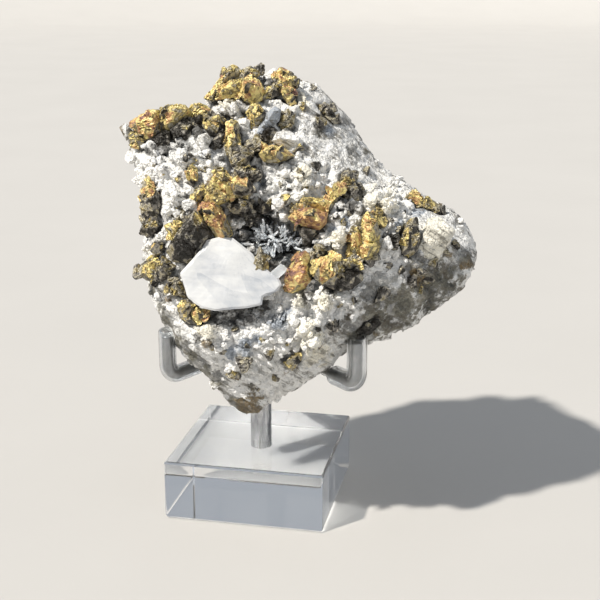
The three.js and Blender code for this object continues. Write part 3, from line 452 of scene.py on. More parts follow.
def smooth_noise(points, size, seed):
    """From -1 to 1: the random numbers at the 8 corners of the cell round each point, blended by
    t·t·(3 - 2t) along each axis."""
    scaled = points / size
    low = np.floor(scaled)
    t = scaled - low
    t = t * t * (3 - 2 * t)
    total = np.zeros(len(points))
    for corner in itertools.product((0, 1), repeat=3):
        offset = np.array(corner)
        weight = np.prod(np.where(offset, t, 1 - t), axis=1)
        total += weight * lattice_random(low + offset, seed)
    return 2 * total - 1


def grains(points, size, seed):
    """Distances to the nearest and the second nearest grain centre, in grain sizes, a random number
    for the nearest grain, and the offset from its centre. The 27 cells round each point hold all
    the near centres."""
    scaled = points / size
    low = np.floor(scaled)
    first = np.full(len(points), 9.0)
    second = np.full(len(points), 9.0)
    own = np.zeros(len(points))
    offset = np.zeros((len(points), 3))
    for corner in itertools.product((-1, 0, 1), repeat=3):
        cell = low + np.array(corner)
        centre = cell + np.stack([lattice_random(cell, seed + k) for k in range(3)], axis=1)
        distance = np.linalg.norm(scaled - centre, axis=1)
        closer = distance < first
        second = np.where(closer, first, np.minimum(second, distance))
        own = np.where(closer, lattice_random(cell, seed + 3), own)
        offset = np.where(closer[:, None], scaled - centre, offset)
        first = np.where(closer, distance, first)
    return first, second, own, offset


def domes(points, size, seed):
    """Rounded lumps, from 0 in the creases to 1 on top: the height of a ball over each grain's
    centre, sqrt(1 - distance²)."""
    first, second, _, _ = grains(points, size, seed)
    return np.sqrt(np.clip(1 - first ** 2, 0, 1)) * np.clip(2.5 * (second - first), 0, 1) ** 0.5


def facets(points, size, seed):
    """Small flat faces, each tilted its own way, with steps between them, as on packed crystals.
    The height is the offset from the grain's centre along a random direction, plus a random step.
    Also returns the grain's random number."""
    _, _, own, offset = grains(points, size, seed)
    turn, lift = own * 61.0, np.sin(own * 173.0)
    flat = np.sqrt(1 - lift ** 2)
    tilt = np.stack([flat * np.cos(turn), flat * np.sin(turn), lift], axis=1)
    return 1.2 * np.sum(offset * tilt, axis=1) + 0.9 * (own - 0.5), own


def ease(value, low, high):
    """0 below low, 1 above high, and a smooth slope between."""
    t = np.clip((value - low) / (high - low), 0, 1)
    return t * t * (3 - 2 * t)


sample = np.random.default_rng(1).uniform(-20, 20, (2000, 3))
print("smooth noise spans", np.round([smooth_noise(sample, 3, 1).min(), smooth_noise(sample, 3, 1).max()], 2))

# %% [markdown]
# ## Balls of squares
# Most shapes here are closed and bulge outwards, so each is a ball of directions with a radius
# for every direction. A ball of rings and spokes would crowd its points at two poles. A cube
# whose six faces are grids, blown up to a ball, has no poles and nearly even squares.

# %% A ball of directions


def ball(steps):
    """Each cube face is a grid of steps by steps over two numbers a, b from -1 to 1. Both are bent
    by tan(a·45°), so that the squares come out even on the ball, and every point is then scaled
    to length 1. Points that two faces share are merged."""
    line = np.tan(np.linspace(-1, 1, steps + 1) * math.pi / 4)
    a, b = np.meshgrid(line, line, indexing="ij")
    one = np.ones_like(a)
    sides = [(one, a, b), (-one, b, a), (b, one, a), (a, -one, b), (a, b, one), (b, a, -one)]
    points = np.concatenate([np.stack(side, axis=-1).reshape(-1, 3) for side in sides])
    square = grid_squares(steps + 1, steps + 1)
    quads = np.concatenate([square + k * (steps + 1) ** 2 for k in range(6)])
    points, quads = merged(points, quads, 1e5)
    return points / np.linalg.norm(points, axis=1)[:, None], quads


def square_ways(points, quads):
    """Outward direction of each square, twice as long as its area: its diagonals' cross product."""
    return np.cross(points[quads[:, 2]] - points[quads[:, 0]], points[quads[:, 3]] - points[quads[:, 1]])


def gathered(quads, amounts, count):
    """For each of the points, the sum of an amount over the squares round it."""
    return sum(np.bincount(quads[:, k], amounts, count) for k in range(4))


def normals_of(points, quads):
    """Outward direction at each point: those of the squares round it, added up."""
    ways = square_ways(points, quads)
    total = np.stack([gathered(quads, ways[:, axis], len(points)) for axis in range(3)], axis=1)
    return total / np.maximum(np.linalg.norm(total, axis=1), 1e-9)[:, None]


print("a ball of 4 steps has", len(ball(4)[0]), "points")

# %% [markdown]
# ## Flat-sided boxes
# A crystal is a box of flat faces round a few corners. Its faces come from its corners: any three
# corners span a plane, and the plane is a face if all the other corners lie on one side of it.
# Seen from a point inside, the surface in each direction is the nearest of these planes.

# %% Faces round corners


def faces_round(corners):
    """Outward directions and distances of the planes that bound the corners."""
    corners = np.asarray(corners, float)
    a, b, c = np.array(list(itertools.combinations(range(len(corners)), 3))).T
    normal = np.cross(corners[b] - corners[a], corners[c] - corners[a])
    size = np.linalg.norm(normal, axis=1)
    normal, a = normal[size > 1e-6] / size[size > 1e-6, None], a[size > 1e-6]
    beyond = normal @ corners.T - np.sum(normal * corners[a], axis=1)[:, None]
    inward = beyond.min(axis=1) > -1e-5
    outward = beyond.max(axis=1) < 1e-5
    normal = np.concatenate([normal[outward], -normal[inward]])
    a = np.concatenate([a[outward], a[inward]])
    _, kept = np.unique(np.round(normal, 3), axis=0, return_index=True)
    return normal[kept], np.sum(normal[kept] * corners[a[kept]], axis=1)


def span_in(box, origin, directions):
    """Where lines from an origin go into and out of a box of planes; into > out if they miss."""
    normal, distance = box
    slope = directions @ normal.T
    reach = distance - normal @ origin
    with np.errstate(divide="ignore", invalid="ignore"):
        cut = reach / slope
    into = np.where(slope < -1e-9, cut, -np.inf).max(axis=1)
    out = np.where(slope > 1e-9, cut, np.inf).min(axis=1)
    return into, out


def outside(box, points):
    """How far each point lies outside a box, by its furthest plane; below 0 is inside."""
    normal, distance = box
    return (points @ normal.T - distance).max(axis=1)


# %% [markdown]
# ## The rock's measured surface
# The rock's outline and face were measured as places with a depth, and its underside as plain
# points. The surface has to pass through them all and flow between. Its radius about a centre is
# a sum of cones, one about each measured direction: weight times distance. One set of linear
# equations gives the weights. Flat breaks then cut the back, where the rock was knocked off.

# %% Number tables


def numbers(text):
    """Rows of numbers: a blank between rows, a comma between the numbers of a row."""
    return [[float(number) for number in row.split(",")] for row in text.split()]


def number_rows(text):
    """Rows of tables: a semicolon between the rows, an upright line between the tables of a row."""
    return [[numbers(part) for part in row.split("|")] for row in text.split(";")]


def crystals(text):
    """Crystals, each as outline | front corners | how it is seated."""
    return [(outline, front, *seat[0]) for outline, front, seat in number_rows(text)]


# %% Measured places: u, v, depth
RIM = numbers("""
  127,129,-15 131,148,-18 146,121,-13 163,114,-12 185,113,-12 205,114,-12 214,102,-9 223,87,-6
  233,75,-5 250,73,-5 270,77,-5 297,80,-3 314,83,0 324,91,2 334,104,3 345,121,5 356,134,6 366,148,6
  374,160,6 385,171,4 403,182,2 418,193,-2 436,203,-6 455,213,-10 465,222,-13 470,240,-17 475,256,-20
  472,270,-22 464,281,-24 449,299,-27 424,307,-28 421,318,-30 414,326,-31 389,332,-33 371,339,-35
  346,346,-36 330,367,-35 314,377,-34 298,388,-31 282,397,-27 269,401,-24 259,408,-24 247,413,-25
  234,407,-27 226,397,-29 212,380,-33 202,371,-35 189,357,-37 177,336,-38 169,318,-38 161,299,-37
  157,283,-35 146,268,-31 146,245,-29 146,225,-28 144,200,-26 146,182,-24 141,165,-22
""")

FACE = numbers("""
  150,170,-27 150,140,-21 170,145,-22 172,122,-19 200,125,-18 205,150,-27 190,175,-31 165,195,-32
  160,225,-33 160,255,-35 185,205,-34 230,190,-34 215,165,-30 235,135,-24 235,105,-17 250,88,-12
  280,88,-11 262,115,-19 285,115,-18 300,100,-13 320,110,-10 320,135,-16 345,150,-14 300,150,-24
  275,165,-27 260,150,-26 300,190,-32 270,200,-31 250,185,-31 330,175,-24 355,175,-18 380,185,-14
  340,200,-32 370,200,-28 405,205,-22 430,215,-20 450,235,-22 440,255,-30 415,240,-33 380,240,-38
  350,235,-39 325,235,-37 320,265,-42 350,275,-43 385,270,-38 420,275,-34 450,270,-27 300,300,-44
  330,300,-44 360,300,-42 400,300,-36 430,295,-31 350,325,-41 385,320,-36 320,345,-42 290,330,-45
  260,330,-45 230,335,-44 200,325,-42 180,305,-40 185,345,-40 215,360,-40 250,360,-42 290,365,-40
  320,365,-38 270,390,-33 240,390,-34 220,285,-38 200,265,-37 175,270,-37 190,240,-36 215,225,-34
  250,235,-33 275,255,-34 290,275,-37 245,300,-38 215,305,-39 270,300,-39
""")

# %% Flanks, underside and breaks
BACK_DEPTH = 34
BACK_MIDDLE = [300, 235]
BACK_RINGS = [(0.3, 0.045), (0.65, 0.12), (0.92, 0.36)]      # share of the way back and inwards
RING_LOWEST = 330
RING_EVERY = 2

UNDERSIDE = numbers("""
  0,-7,57 -5,-14,51 6,-14,51 -2,-19,44 -14,-14,59 15,-16,58 -22,-22,62 26,-22,61 40,-18,65 -12,2,61
  10,2,60 28,0,64 2,20,68 20,24,76 -10,22,78 6,34,94 24,33,100
""")

# Flat breaks: the way that each faces, and its distance from the middle
BREAKS = numbers("""
  0.08,0.98,0.16,33.5 0.66,0.72,-0.2,44 -0.7,0.68,0.2,43 0.28,0.62,0.73,40.5 0.1,0.62,-0.78,33
  -0.5,0.6,-0.62,37 0.4,0.9,-0.3,38 -0.35,0.9,-0.25,36 0.5,0.5,-0.7,40 -0.55,0.45,0.7,48
  -0.1,0.85,0.5,39
""")

# %% The radius in every direction


def drawn_in(places, middle, share):
    """Places moved a share of the way to the middle."""
    return places + share * (np.asarray(middle) - places)


def measured_points():
    """All measured points: outline, face, the outline carried back and drawn in, underside."""
    rim = np.array(RIM, float)
    front = np.concatenate([rim, np.array(FACE, float)])
    carried = rim[(rim[:, 1] < RING_LOWEST) & (np.arange(len(rim)) % RING_EVERY == 0)]
    rings = [
        place(*drawn_in(carried[:, :2], BACK_MIDDLE, inward).T,
              carried[:, 2] + back * (BACK_DEPTH - carried[:, 2]))
        for back, inward in BACK_RINGS
    ]
    return np.concatenate([place(*front.T), *rings, np.array(UNDERSIDE, float)])


def apart(a, b):
    """Straight distances between all directions of one table and all of another."""
    return np.sqrt(np.clip(2 - 2 * a @ b.T, 0, None))


measured = measured_points() - ROCK_CENTRE
measured_radius = np.linalg.norm(measured, axis=1)
measured_way = measured / measured_radius[:, None]
equations = np.ones((len(measured) + 1, len(measured) + 1))
equations[:-1, :-1] = apart(measured_way, measured_way)
equations[-1, -1] = 0
rock_weights = np.linalg.solve(equations, np.append(measured_radius, 0))
break_way = np.array(BREAKS)[:, :3]
break_way /= np.linalg.norm(break_way, axis=1)[:, None]
break_distance = np.array(BREAKS)[:, 3]


def rock_radius(ways):
    """The sum of the cones, limited by the breaks: distance / cosine for a break that it faces."""
    radius = apart(ways, measured_way) @ rock_weights[:-1] + rock_weights[-1]
    towards = ways @ break_way.T
    limit = np.where(towards > 0, break_distance / np.maximum(towards, 1e-9), np.inf)
    return np.minimum(radius, limit.min(axis=1))


def rock_depth(u, v):
    """Depth at which the sight line through each place meets the rock, or nan beside it: stepped
    in from the front by 1 mm, then halved 8 times."""
    u, v = np.atleast_1d(u).astype(float), np.atleast_1d(v).astype(float)

    def inside(y):
        offset = place(u, v, y) - ROCK_CENTRE
        radius = np.linalg.norm(offset, axis=-1)
        return radius < rock_radius(offset / radius[:, None])

    far = np.full(len(u), np.nan)
    for y in np.arange(-60.0, 10.0):
        far = np.where(np.isnan(far) & inside(y), y, far)
    near = far - 1
    for _ in range(8):
        half = (near + far) / 2
        within = inside(half)
        far = np.where(within, half, far)
        near = np.where(within, near, half)
    return far


print("measured points:", len(measured), "depth in the middle of the face:", rock_depth(300, 240))

# %% [markdown]
# ## Crystals as they are listed
# Each crystal or lump has its outline on the front view, the corners that stand in front of it
# with their rise in millimetres, how far it stands proud of the rock and how deep its root goes.
# The same rule turns this list into corners here and in the CAD part, so they agree. A row is
# outline | front corners | how far proud, root depth and, where the rock is too steep to lean on,
# a depth of its own.

# %% The chalcopyrite clusters
CHALCOPYRITE = {
  "left_top": crystals("""
 130,126 139,116 148,110 158,110 162,116 157,134 151,141 142,139 | 136,123,3 152,116,4.5 155,127,4.5
 146,133,3.5 | 1,8 ;
 129,139 133,133 141,135 144,142 139,149 131,148 | 136,140,2 | 0.6,5 ;
 150,142 156,132 165,129 172,135 171,148 164,156 155,154 | 160,136,1.5 163,146,1.5 | -1.5,5"""),
  "cracked": crystals("""
 160,110 167,105 185,105 190,112 188,118 171,130 165,131 160,125 | 165,110,3 176,108,4 186,111,3.5
 167,124,3.5 | 1,7 ;
 170,129 178,120 187,117 194,126 191,139 183,146 174,142 | 187,127,2 177,133,1 | -1,6 ;
 187,113 192,105 200,103 207,106 213,113 212,119 202,121 189,120 | 195,108,3 205,110,3.5 198,116,2.5
 | 0.8,6 ;
 188,122 194,117 203,117 204,127 198,134 190,131 | 195,123,1.5 | -0.5,5"""),
  "grooved": crystals("""
 202,125 206,118 214,115 223,117 228,122 225,129 217,136 209,134 | 209,121,3 218,119,3 219,128,3 |
 0.8,6 ;
 210,153 212,141 218,129 228,126 229,146 222,150 215,160 | 222,138,1 | -1.2,6"""),
  "column": crystals("""
 226,123 232,120 239,123 240,144 236,154 229,153 226,140 | 233,125,2.5 236,138,3 230,146,3 | 0.8,5 ;
 229,150 238,145 247,148 252,155 247,164 238,170 231,166 | 240,152,3 246,157,3 236,163,2 | 0.6,5 ;
 242,147 248,140 256,139 265,145 262,151 250,153 | 251,144,2 259,146,2 | 0.4,5"""),
  "crown": crystals("""
 206,99 217,84 226,69 232,65 238,67 241,72 224,92 214,101 | 229,73,2.5 221,84,2.5 213,94,2 |
 0.5,6,-9 ;
 234,79 240,70 250,66 260,69 262,74 254,80 243,82 | 246,72,2 255,73,2 | 0,6,-8 ;
 215,100 220,90 230,80 243,79 246,90 240,97 228,98 | 226,89,3 236,84,3.5 240,91,3 | 1,6 ;
 240,93 243,82 250,77 259,80 265,90 262,100 253,104 244,101 | 247,84,4 256,86,4.5 252,97,3 | 1,6"""),
  "crown_right": crystals("""
 271,77 274,71 282,72 290,73 297,77 298,84 289,88 277,85 | 279,77,3 290,79,3.5 | 0.6,6,-11 ;
 279,87 285,81 292,83 297,92 297,104 289,106 283,97 | 287,88,3 293,95,2.5 | 0.6,5 ;
 262,97 267,88 275,83 284,86 282,94 271,98 | 273,89,2.5 | 0.4,5"""),
  "under_crown": crystals("""
 247,113 250,105 257,103 264,110 267,117 262,124 255,127 249,121 | 254,109,3 261,115,3.5 254,119,3 |
 0.6,5"""),
  "shaded": crystals("""
 257,138 262,130 269,125 277,131 274,141 266,145 259,143 | 268,131,1.5 | -0.2,5"""),
  "lens": crystals("""
 259,154 264,147 272,145 284,148 294,156 286,160 276,163 264,162 | 268,151,3.5 280,152,4 288,156,2.5
 | 1,5"""),
  "heart": crystals("""
 204,200 206,189 213,178 222,180 228,192 226,203 212,207 | 213,187,3.5 220,197,3.5 | 1,6 ;
 211,180 217,171 224,170 232,178 224,186 | 221,176,2.5 | 1,6 ;
 217,187 224,181 233,185 233,197 226,202 | 225,189,4 | 1,6 ;
 228,183 237,176 248,178 254,190 248,199 233,198 | 235,184,5 246,188,4.5 | 1,7 ;
 231,176 236,169 246,167 256,170 263,176 256,182 244,183 235,181 | 239,173,2 251,173,2.5 | 0.6,5 ;
 229,205 236,198 246,198 251,207 243,215 233,213 | 239,206,2.5 | 0.4,6 ;
 240,207 248,203 258,207 261,216 253,223 244,220 | 249,209,2 254,216,1.5 | -1,6 ;
 200,206 209,201 218,204 226,217 232,234 227,243 219,241 206,225 | 209,209,4 221,229,5 | 1,8"""),
  "heart_left": crystals("""
 190,197 196,191 203,183 206,190 201,200 192,203 | 199,192,2 | 0.8,5"""),
  "seed_upper": crystals("""
 187,174 192,170 198,173 198,181 190,180 | 194,174,1.8 | 1.4,5"""),
  "left_flank": crystals("""
 141,190 144,180 149,176 154,184 156,193 151,203 142,203 | 148,185,2.5 151,194,3 | 1,6 ;
 140,202 146,195 157,193 161,205 157,216 149,223 143,220 141,210 | 150,201,3.5 153,212,3 | 1,7 ;
 142,230 147,220 155,217 158,227 153,235 147,238 | 150,227,2 | 0.6,5"""),
  "dark_face": crystals("""
 167,251 171,241 190,215 196,210 212,233 204,243 200,257 187,263 173,261 | 175,245,4 189,226,5
 178,254,3 | 1,8 ;
 169,229 174,221 182,221 184,228 178,236 171,238 | 175,227,2 | 1,6"""),
  "left_spur": crystals("""
 138,273 141,265 150,256 159,258 160,270 155,283 146,280 | 149,264,3 150,273,3 | 1,8 ;
 155,261 164,260 172,267 170,277 161,282 154,275 | 162,268,3.5 | 1,7"""),
  "left_seed": crystals("""
 150,250 154,243 162,245 162,254 154,257 | 156,248,1.8 | 1,5"""),
  "kite": crystals("""
 167,289 171,281 176,277 181,281 186,294 173,296 | 176,284,2.6 179,291,2 | 1,6"""),
  "on_blade": crystals("""
 251,268 255,258 261,250 267,257 269,272 262,275 254,273 | 259,259,2.4 263,268,2.4 | 5,7"""),
  "below_blade": crystals("""
 177,306 183,300 191,304 197,311 193,321 188,325 180,318 | 186,307,2.6 187,317,2 | 1,6 ;
 188,311 197,307 206,312 207,318 199,322 190,322 | 198,312,2.6 | 1,6"""),
  "wedge": crystals("""
 288,218 296,211 306,207 318,209 327,214 326,223 319,231 305,228 296,225 | 298,217,3 312,213,5
 320,222,6 | 1.5,7 ;
 296,225 306,225 319,228 317,237 309,243 303,240 | 309,232,3 | 0.5,8 ;
 293,211 299,203 308,198 320,199 331,202 330,210 320,213 303,214 | 304,204,2 317,203,2.5 | 0.5,6"""),
  "pale_ridge": crystals("""
 340,185 342,174 348,168 354,173 357,185 350,191 343,189 | 347,175,3 350,182,3 | 1,6 ;
 322,201 328,192 337,185 345,183 347,191 337,199 329,204 | 331,193,2.5 340,188,2.5 | 0.8,6 ;
 344,190 351,183 361,183 365,190 359,200 350,203 344,198 | 355,190,2 | 0.3,6"""),
  "bright": crystals("""
 360,230 363,220 370,215 377,221 380,236 376,246 366,248 360,242 | 366,223,3.5 372,229,4.5 369,240,4
 | 1,6 ;
 359,247 366,242 379,240 380,247 375,257 369,262 362,259 | 369,248,4 367,256,3 | 1,6 ;
 373,226 375,212 377,204 383,211 382,224 | 378,213,1.8 | 1.2,5 ;
 346,256 349,240 355,228 363,226 364,246 360,258 | 355,236,2.5 355,248,2 | 0.5,6"""),
  "oblong": crystals("""
 285,281 287,272 298,254 305,251 311,256 311,280 305,288 291,293 287,288 | 291,272,4 301,258,3.5
 305,270,4.5 298,284,5 | 1,8"""),
  "lower_group": crystals("""
 310,270 315,261 325,256 336,255 344,261 346,270 341,281 334,289 322,284 314,277 | 319,266,3.5
 331,262,4.5 335,275,5.5 | 1,8 ;
 332,287 342,272 354,268 363,273 362,281 352,289 341,291 | 346,276,3.5 355,276,3 | 0.8,7 ;
 338,268 342,260 350,257 358,259 361,266 352,272 344,272 | 349,262,3.5 | 1,6 ;
 313,257 317,247 323,245 326,251 325,262 317,264 | 319,251,2.5 | 1,6"""),
  "right": crystals("""
 401,244 403,234 408,222 413,219 418,226 421,240 417,251 409,257 402,253 | 409,229,3 415,238,2.5
 408,247,3.5 | 0.8,6"""),
  "rim": crystals("""
 405,197 412,193 421,196 429,204 432,210 421,207 | 413,197,1.6 423,202,1.6 | 0.4,5 ;
 427,207 432,201 441,205 445,211 437,214 | 436,207,1.6 | 0.4,5"""),
  "slope_high": crystals("""
 320,106 325,102 332,109 341,122 334,124 325,116 | 328,109,2 | 0.6,5"""),
  "slope_left": crystals("""
 279,125 282,114 288,109 295,115 294,125 286,128 | 287,116,1.8 | 0.5,5"""),
  "middle_seed": crystals("""
 255,209 261,202 270,202 272,210 262,214 | 263,206,2 | 0.6,5"""),
  "chin_right": crystals("""
 282,364 290,357 301,353 301,362 292,371 | 292,361,2.2 | 0.6,5"""),
  "right_low": crystals("""
 359,332 366,324 378,319 381,324 370,335 362,336 | 368,327,1.5 | 0.4,5"""),
}

# %% White lumps, hidden crystals, cleaved steps and hollows
WHITE_BLOCKS = crystals("""
 122,128 126,123 130,127 130,137 126,141 | 126,130,1.5 | 0.5,5,-16 ;
 196,142 199,135 207,133 211,140 208,148 200,150 | 203,137,2.5 205,144,2 | 0.8,5 ;
 216,113 223,98 234,96 245,104 247,115 239,121 223,120 | 225,106,3 239,108,3 231,115,3 | 0.6,5 ;
 256,136 258,128 268,112 275,107 281,110 279,121 268,126 260,137 | 273,112,2.5 262,130,2 | 0.8,5 ;
 147,168 153,160 166,160 176,167 172,175 156,177 | 157,165,3 168,168,3 | 0.8,6 ;
 171,158 180,150 203,151 211,160 198,168 178,167 | 182,156,3 202,157,3 | 0.6,6 ;
 167,195 176,187 188,189 191,200 180,209 169,205 | 176,194,3 184,200,3 | 0.6,6 ;
 272,141 277,132 290,131 303,140 301,148 283,147 | 281,138,2.5 294,140,2 | 0.6,5 ;
 290,184 292,171 304,163 316,170 317,186 308,197 295,196 | 299,175,4 309,184,4 | 0.8,7 ;
 268,201 276,194 287,197 287,208 277,212 | 278,201,3 | 0.8,6 ;
 325,242 330,231 341,225 351,229 350,239 336,251 | 338,232,3.5 333,242,3 | 0.8,7 ;
 354,207 362,195 381,188 397,193 403,206 388,216 363,217 | 370,200,4 389,203,4 | 0.6,8 ;
 414,255 421,235 428,219 440,218 455,231 447,247 434,267 | 426,251,3.5 453,231,1.5 430,231,3.5 | 1,8 ;
 289,301 294,292 303,293 311,302 305,312 297,316 | 299,299,3.5 | 0.8,6 ;
 315,299 321,290 331,290 337,299 331,309 320,309 | 326,295,3.5 | 0.8,6 ;
 191,334 196,323 206,317 218,321 221,334 205,342 | 204,325,3 212,332,3 | 0.6,7 ;
 259,325 268,312 284,309 292,318 289,332 268,336 | 273,319,3 284,320,3 | 0.4,7 ;
 296,330 308,315 324,319 329,338 314,352 300,346 | 310,325,3 315,339,3 | 0.4,7""")

# Hidden crystals and cleaved steps: the way that each faces, its size and its turn
BACK_CRYSTALS = {
  "back_upper": [0.3, 0.72, 0.62, 5.5, 20],
  "back_left": [-0.78, 0.5, 0.38, 5, 65],
  "back_middle": [0.12, 0.98, -0.05, 6, 110],
  "back_right": [0.86, 0.5, -0.1, 5, 15],
  "back_low": [-0.42, 0.72, -0.55, 4.5, 80],
}

BACK_STEPS = numbers("""
  -0.35,0.9,0.25,9,25 0.55,0.8,0.2,10,70 -0.1,0.75,0.66,8,50 0.45,0.75,-0.48,8,10 -0.85,0.45,-0.2,7,40
  0.02,0.88,-0.47,7,95
""")

# Hollows: outline | depth of the mouth, depth of the floor, how much the floor is narrowed
HOLLOWS = number_rows("""
  236,226 250,214 284,214 304,226 318,240 304,254 292,266 270,266 250,250 | -46,-22,0.8 ;
  257,82 261,74 271,75 273,85 266,92 | -20,-5,0.5 ;
  332,206 342,200 352,206 346,216 336,222 | -46,-27,0.5 ;
  305,293 309,282 319,280 322,288 314,298 | -54,-36,0.5""")

# %% Corners of crystals, lumps and hollows
ROOT_WIDTH = 0.6
ROOT_EVERY = 3
SLOPE_SHARE = 0.5
SLOPE_LIMIT = 3


def crystal_corners(outline, front, proud, root, at=None):
    """The outline at the crystal's base depth, leaning with the rock under it, the front corners
    and a narrower root."""
    outline = np.array(outline, float)
    front = np.array(front, float)
    middle = outline.mean(axis=0)
    under = rock_depth(*middle)[0]
    base = under - proud if at is None else at
    lean = np.zeros(len(outline))
    if not np.isnan(under):
        here = rock_depth(*outline.T)
        here = np.where(np.isnan(here), under, here)
        lean = np.clip(SLOPE_SHARE * (here - under), -SLOPE_LIMIT, SLOPE_LIMIT)
    roots = drawn_in(outline[::ROOT_EVERY], middle, 1 - ROOT_WIDTH)
    return np.concatenate([
        place(*outline.T, base + lean),
        place(*front[:, :2].T, base - front[:, 2]),
        place(*roots.T, base + root),
    ])


def turned_about(vector, axis, angle):
    """A vector at right angles to an axis, turned about it."""
    return vector * math.cos(angle) + np.cross(axis, vector) * math.sin(angle)


def seat_corners(facing, size, turn, shape):
    """Corners of a small shape that sits on the rock where it faces a direction: the shape's first
    number goes outwards, the others sideways, turned about the outward axis."""
    out = np.array(facing, float) / np.linalg.norm(facing)
    side = np.cross([0, 0, 1], out)
    side = turned_about(side / np.linalg.norm(side), out, math.radians(turn))
    axes = np.stack([out, side, np.cross(out, side)])
    return ROCK_CENTRE + out * rock_radius(out[None])[0] + size * (np.asarray(shape) @ axes)


def sphenoid():
    """A four-sided wedge with cut corners: each corner of a tetrahedron gives three corners, a
    quarter of the way to the other three."""
    ends = np.array([[1, 1, 1], [1, -1, -1], [-1, 1, -1], [-1, -1, 1]], float)
    cut = ends[:, None] + 0.24 * (ends[None] - ends[:, None])
    return cut[~np.eye(4, dtype=bool)]


def cleaved_block():
    """A leaning block: eight corners, sheared sideways by a quarter."""
    a, b, c = np.array(list(itertools.product((-1, 1), repeat=3)), float).T
    return np.stack([0.34 * a - 0.16, b + 0.25 * a, 0.62 * c + 0.2 * b], axis=1)


def hollow_corners(outline, mouth, floor, narrowing):
    """The outline at the depth of the mouth, and a narrower one at the depth of the floor."""
    outline = np.array(outline, float)
    inner = drawn_in(outline, outline.mean(axis=0), 1 - narrowing)
    return np.concatenate([place(*outline.T, mouth), place(*inner.T, floor)])


crystal_boxes = {
    name: [crystal_corners(*row) for row in rows]
    for name, rows in CHALCOPYRITE.items()
}
for name, (*facing, size, turn) in BACK_CRYSTALS.items():
    crystal_boxes[name] = [seat_corners(facing, size, turn, sphenoid() * [0.55, 1, 0.8])]
lump_boxes = [faces_round(crystal_corners(*lump)) for lump in WHITE_BLOCKS]
step_boxes = [
    faces_round(seat_corners(facing, size, turn, cleaved_block()))
    for *facing, size, turn in BACK_STEPS
]
hollow_boxes = [faces_round(hollow_corners(outline, *depths[0])) for outline, depths in HOLLOWS]
print("clusters:", len(crystal_boxes), "crystals:", sum(map(len, crystal_boxes.values())))

# %% [markdown]
# ## The rock
# White calcite and quartz: a crust of rounded, sugary lumps over most of the face, smooth streaked
# slopes at the upper right and below, and flat broken faces behind. A sculpted mesh would do, but
# a formula can be changed: the radius takes in the lumps and loses the hollows, and then relief
# moves each point along its own outward direction. A mask says where the crust is.

# %% Where the face is crusted, streaked, stained or painted with shade
ROCK_STEPS = 127
FORWARD_CROWDING = 0.38          # the face gets more points than the back

# Places on the front view: u, v, reach in steps
PLACES = {
  "smooth": numbers("""
  330,105,34 350,145,36 374,168,28 320,150,26 418,188,20 345,170,20 440,212,30 435,240,26 440,285,50
  400,295,44 375,318,40 350,345,40 330,370,34 160,280,16 170,330,30 195,368,34 240,400,40 460,250,34
  300,385,26 262,362,22 312,118,22"""),
  # Grey streaky patches on the slopes; on the underside and lower rim the grey also stands for painted shade
  "grey_and_underside_shade": numbers("""
  325,128,18 352,150,12 300,150,12 430,285,50 395,305,44 360,332,30 345,205,14 300,262,16 325,250,14
  262,300,14 452,270,24 458,218,8 180,345,18 345,120,10 240,215,12 415,262,26 375,290,30 462,258,20
  152,275,14 158,295,14 168,322,16 196,362,14 215,383,14 232,402,16"""),
  # Olive-grey: a real band along the lower left rim; on the underside it stands for painted shade
  "olive_and_underside_shade": numbers("""
  430,288,38 405,304,36 445,276,30 380,320,28 358,338,18 250,405,22 464,262,16 153,288,9 160,304,9
  166,322,9 178,342,9 192,357,9 205,372,9 216,386,9 228,400,10 330,107,9 367,151,7 322,131,8 236,376,7
  252,384,6"""),
  "stain": numbers("""
  418,278,13 449,253,8 330,112,12 186,318,12 250,405,20 166,300,8 466,266,12 372,330,9 205,345,7
  350,315,8 236,378,7 392,240,9 438,208,9 154,268,9 198,312,9 286,372,6 350,262,10 330,205,9"""),
  "cream": numbers("""
  380,203,24 435,240,22 338,238,14 206,330,16 300,176,14 300,300,14 325,300,14 310,335,18 318,355,20
  226,100,12 300,100,14"""),
  "blue": numbers("""
  275,321,15 243,347,15 230,354,11 285,312,9 258,338,8 267,124,12 330,130,9 330,227,10 400,226,9
  420,210,9 262,183,8 286,262,10 216,148,9 345,222,8 250,112,6"""),
  # Painted shade: near-black where the face lies in shadow, under the crust's overhang, in the pocket, under
  # the blade and between the crystals
  "painted_shade": numbers("""
  216,316,18 234,317,20 252,313,18 266,303,12 200,314,10 350,314,9 323,130,9 246,240,24 275,262,22
  262,172,12 306,298,12 160,146,20 182,138,20 200,130,18 218,146,16 240,162,12 268,138,10 342,208,12
  266,84,14 276,92,8 285,240,30 262,228,22 264,186,9 288,262,18 352,208,12 392,236,12 350,268,14
  330,292,8 204,248,12 150,215,12 160,262,12 222,160,10 272,222,18 300,240,18 146,150,6 236,214,14
  252,206,14 264,214,12 236,174,12 340,276,14 344,264,10 196,296,8"""),
  "ridged": [[272, 372, 52]],
}
PATCHES = ["grey_and_underside_shade", "olive_and_underside_shade", "stain", "cream", "blue", "painted_shade"]


def nearness(u, v, kind):
    """1 at a listed place, easing to 0 at its reach; the strongest of the list counts."""
    listed = np.array(PLACES[kind])
    away = np.hypot(u[:, None] - listed[:, 0], v[:, None] - listed[:, 1]) / listed[:, 2]
    return np.clip(1.15 - away, 0, 1).max(axis=1)


def rock_shape():
    """The radius with lumps and hollows, as points about the rock's centre."""
    ways, quads = ball(ROCK_STEPS)
    ways = ways + FORWARD_CROWDING * np.array([0, -1, 0.1])
    ways /= np.linalg.norm(ways, axis=1)[:, None]
    radius = rock_radius(ways)
    for box in lump_boxes + step_boxes:
        into, out = span_in(box, ROCK_CENTRE, ways)
        radius = np.where((into < out) & (into < radius), np.maximum(radius, out), radius)
    for box in hollow_boxes:
        into, out = span_in(box, ROCK_CENTRE, ways)
        radius = np.where((into < out) & (out > radius), np.minimum(radius, np.maximum(into, 1)), radius)
    return ROCK_CENTRE + ways * radius[:, None], quads


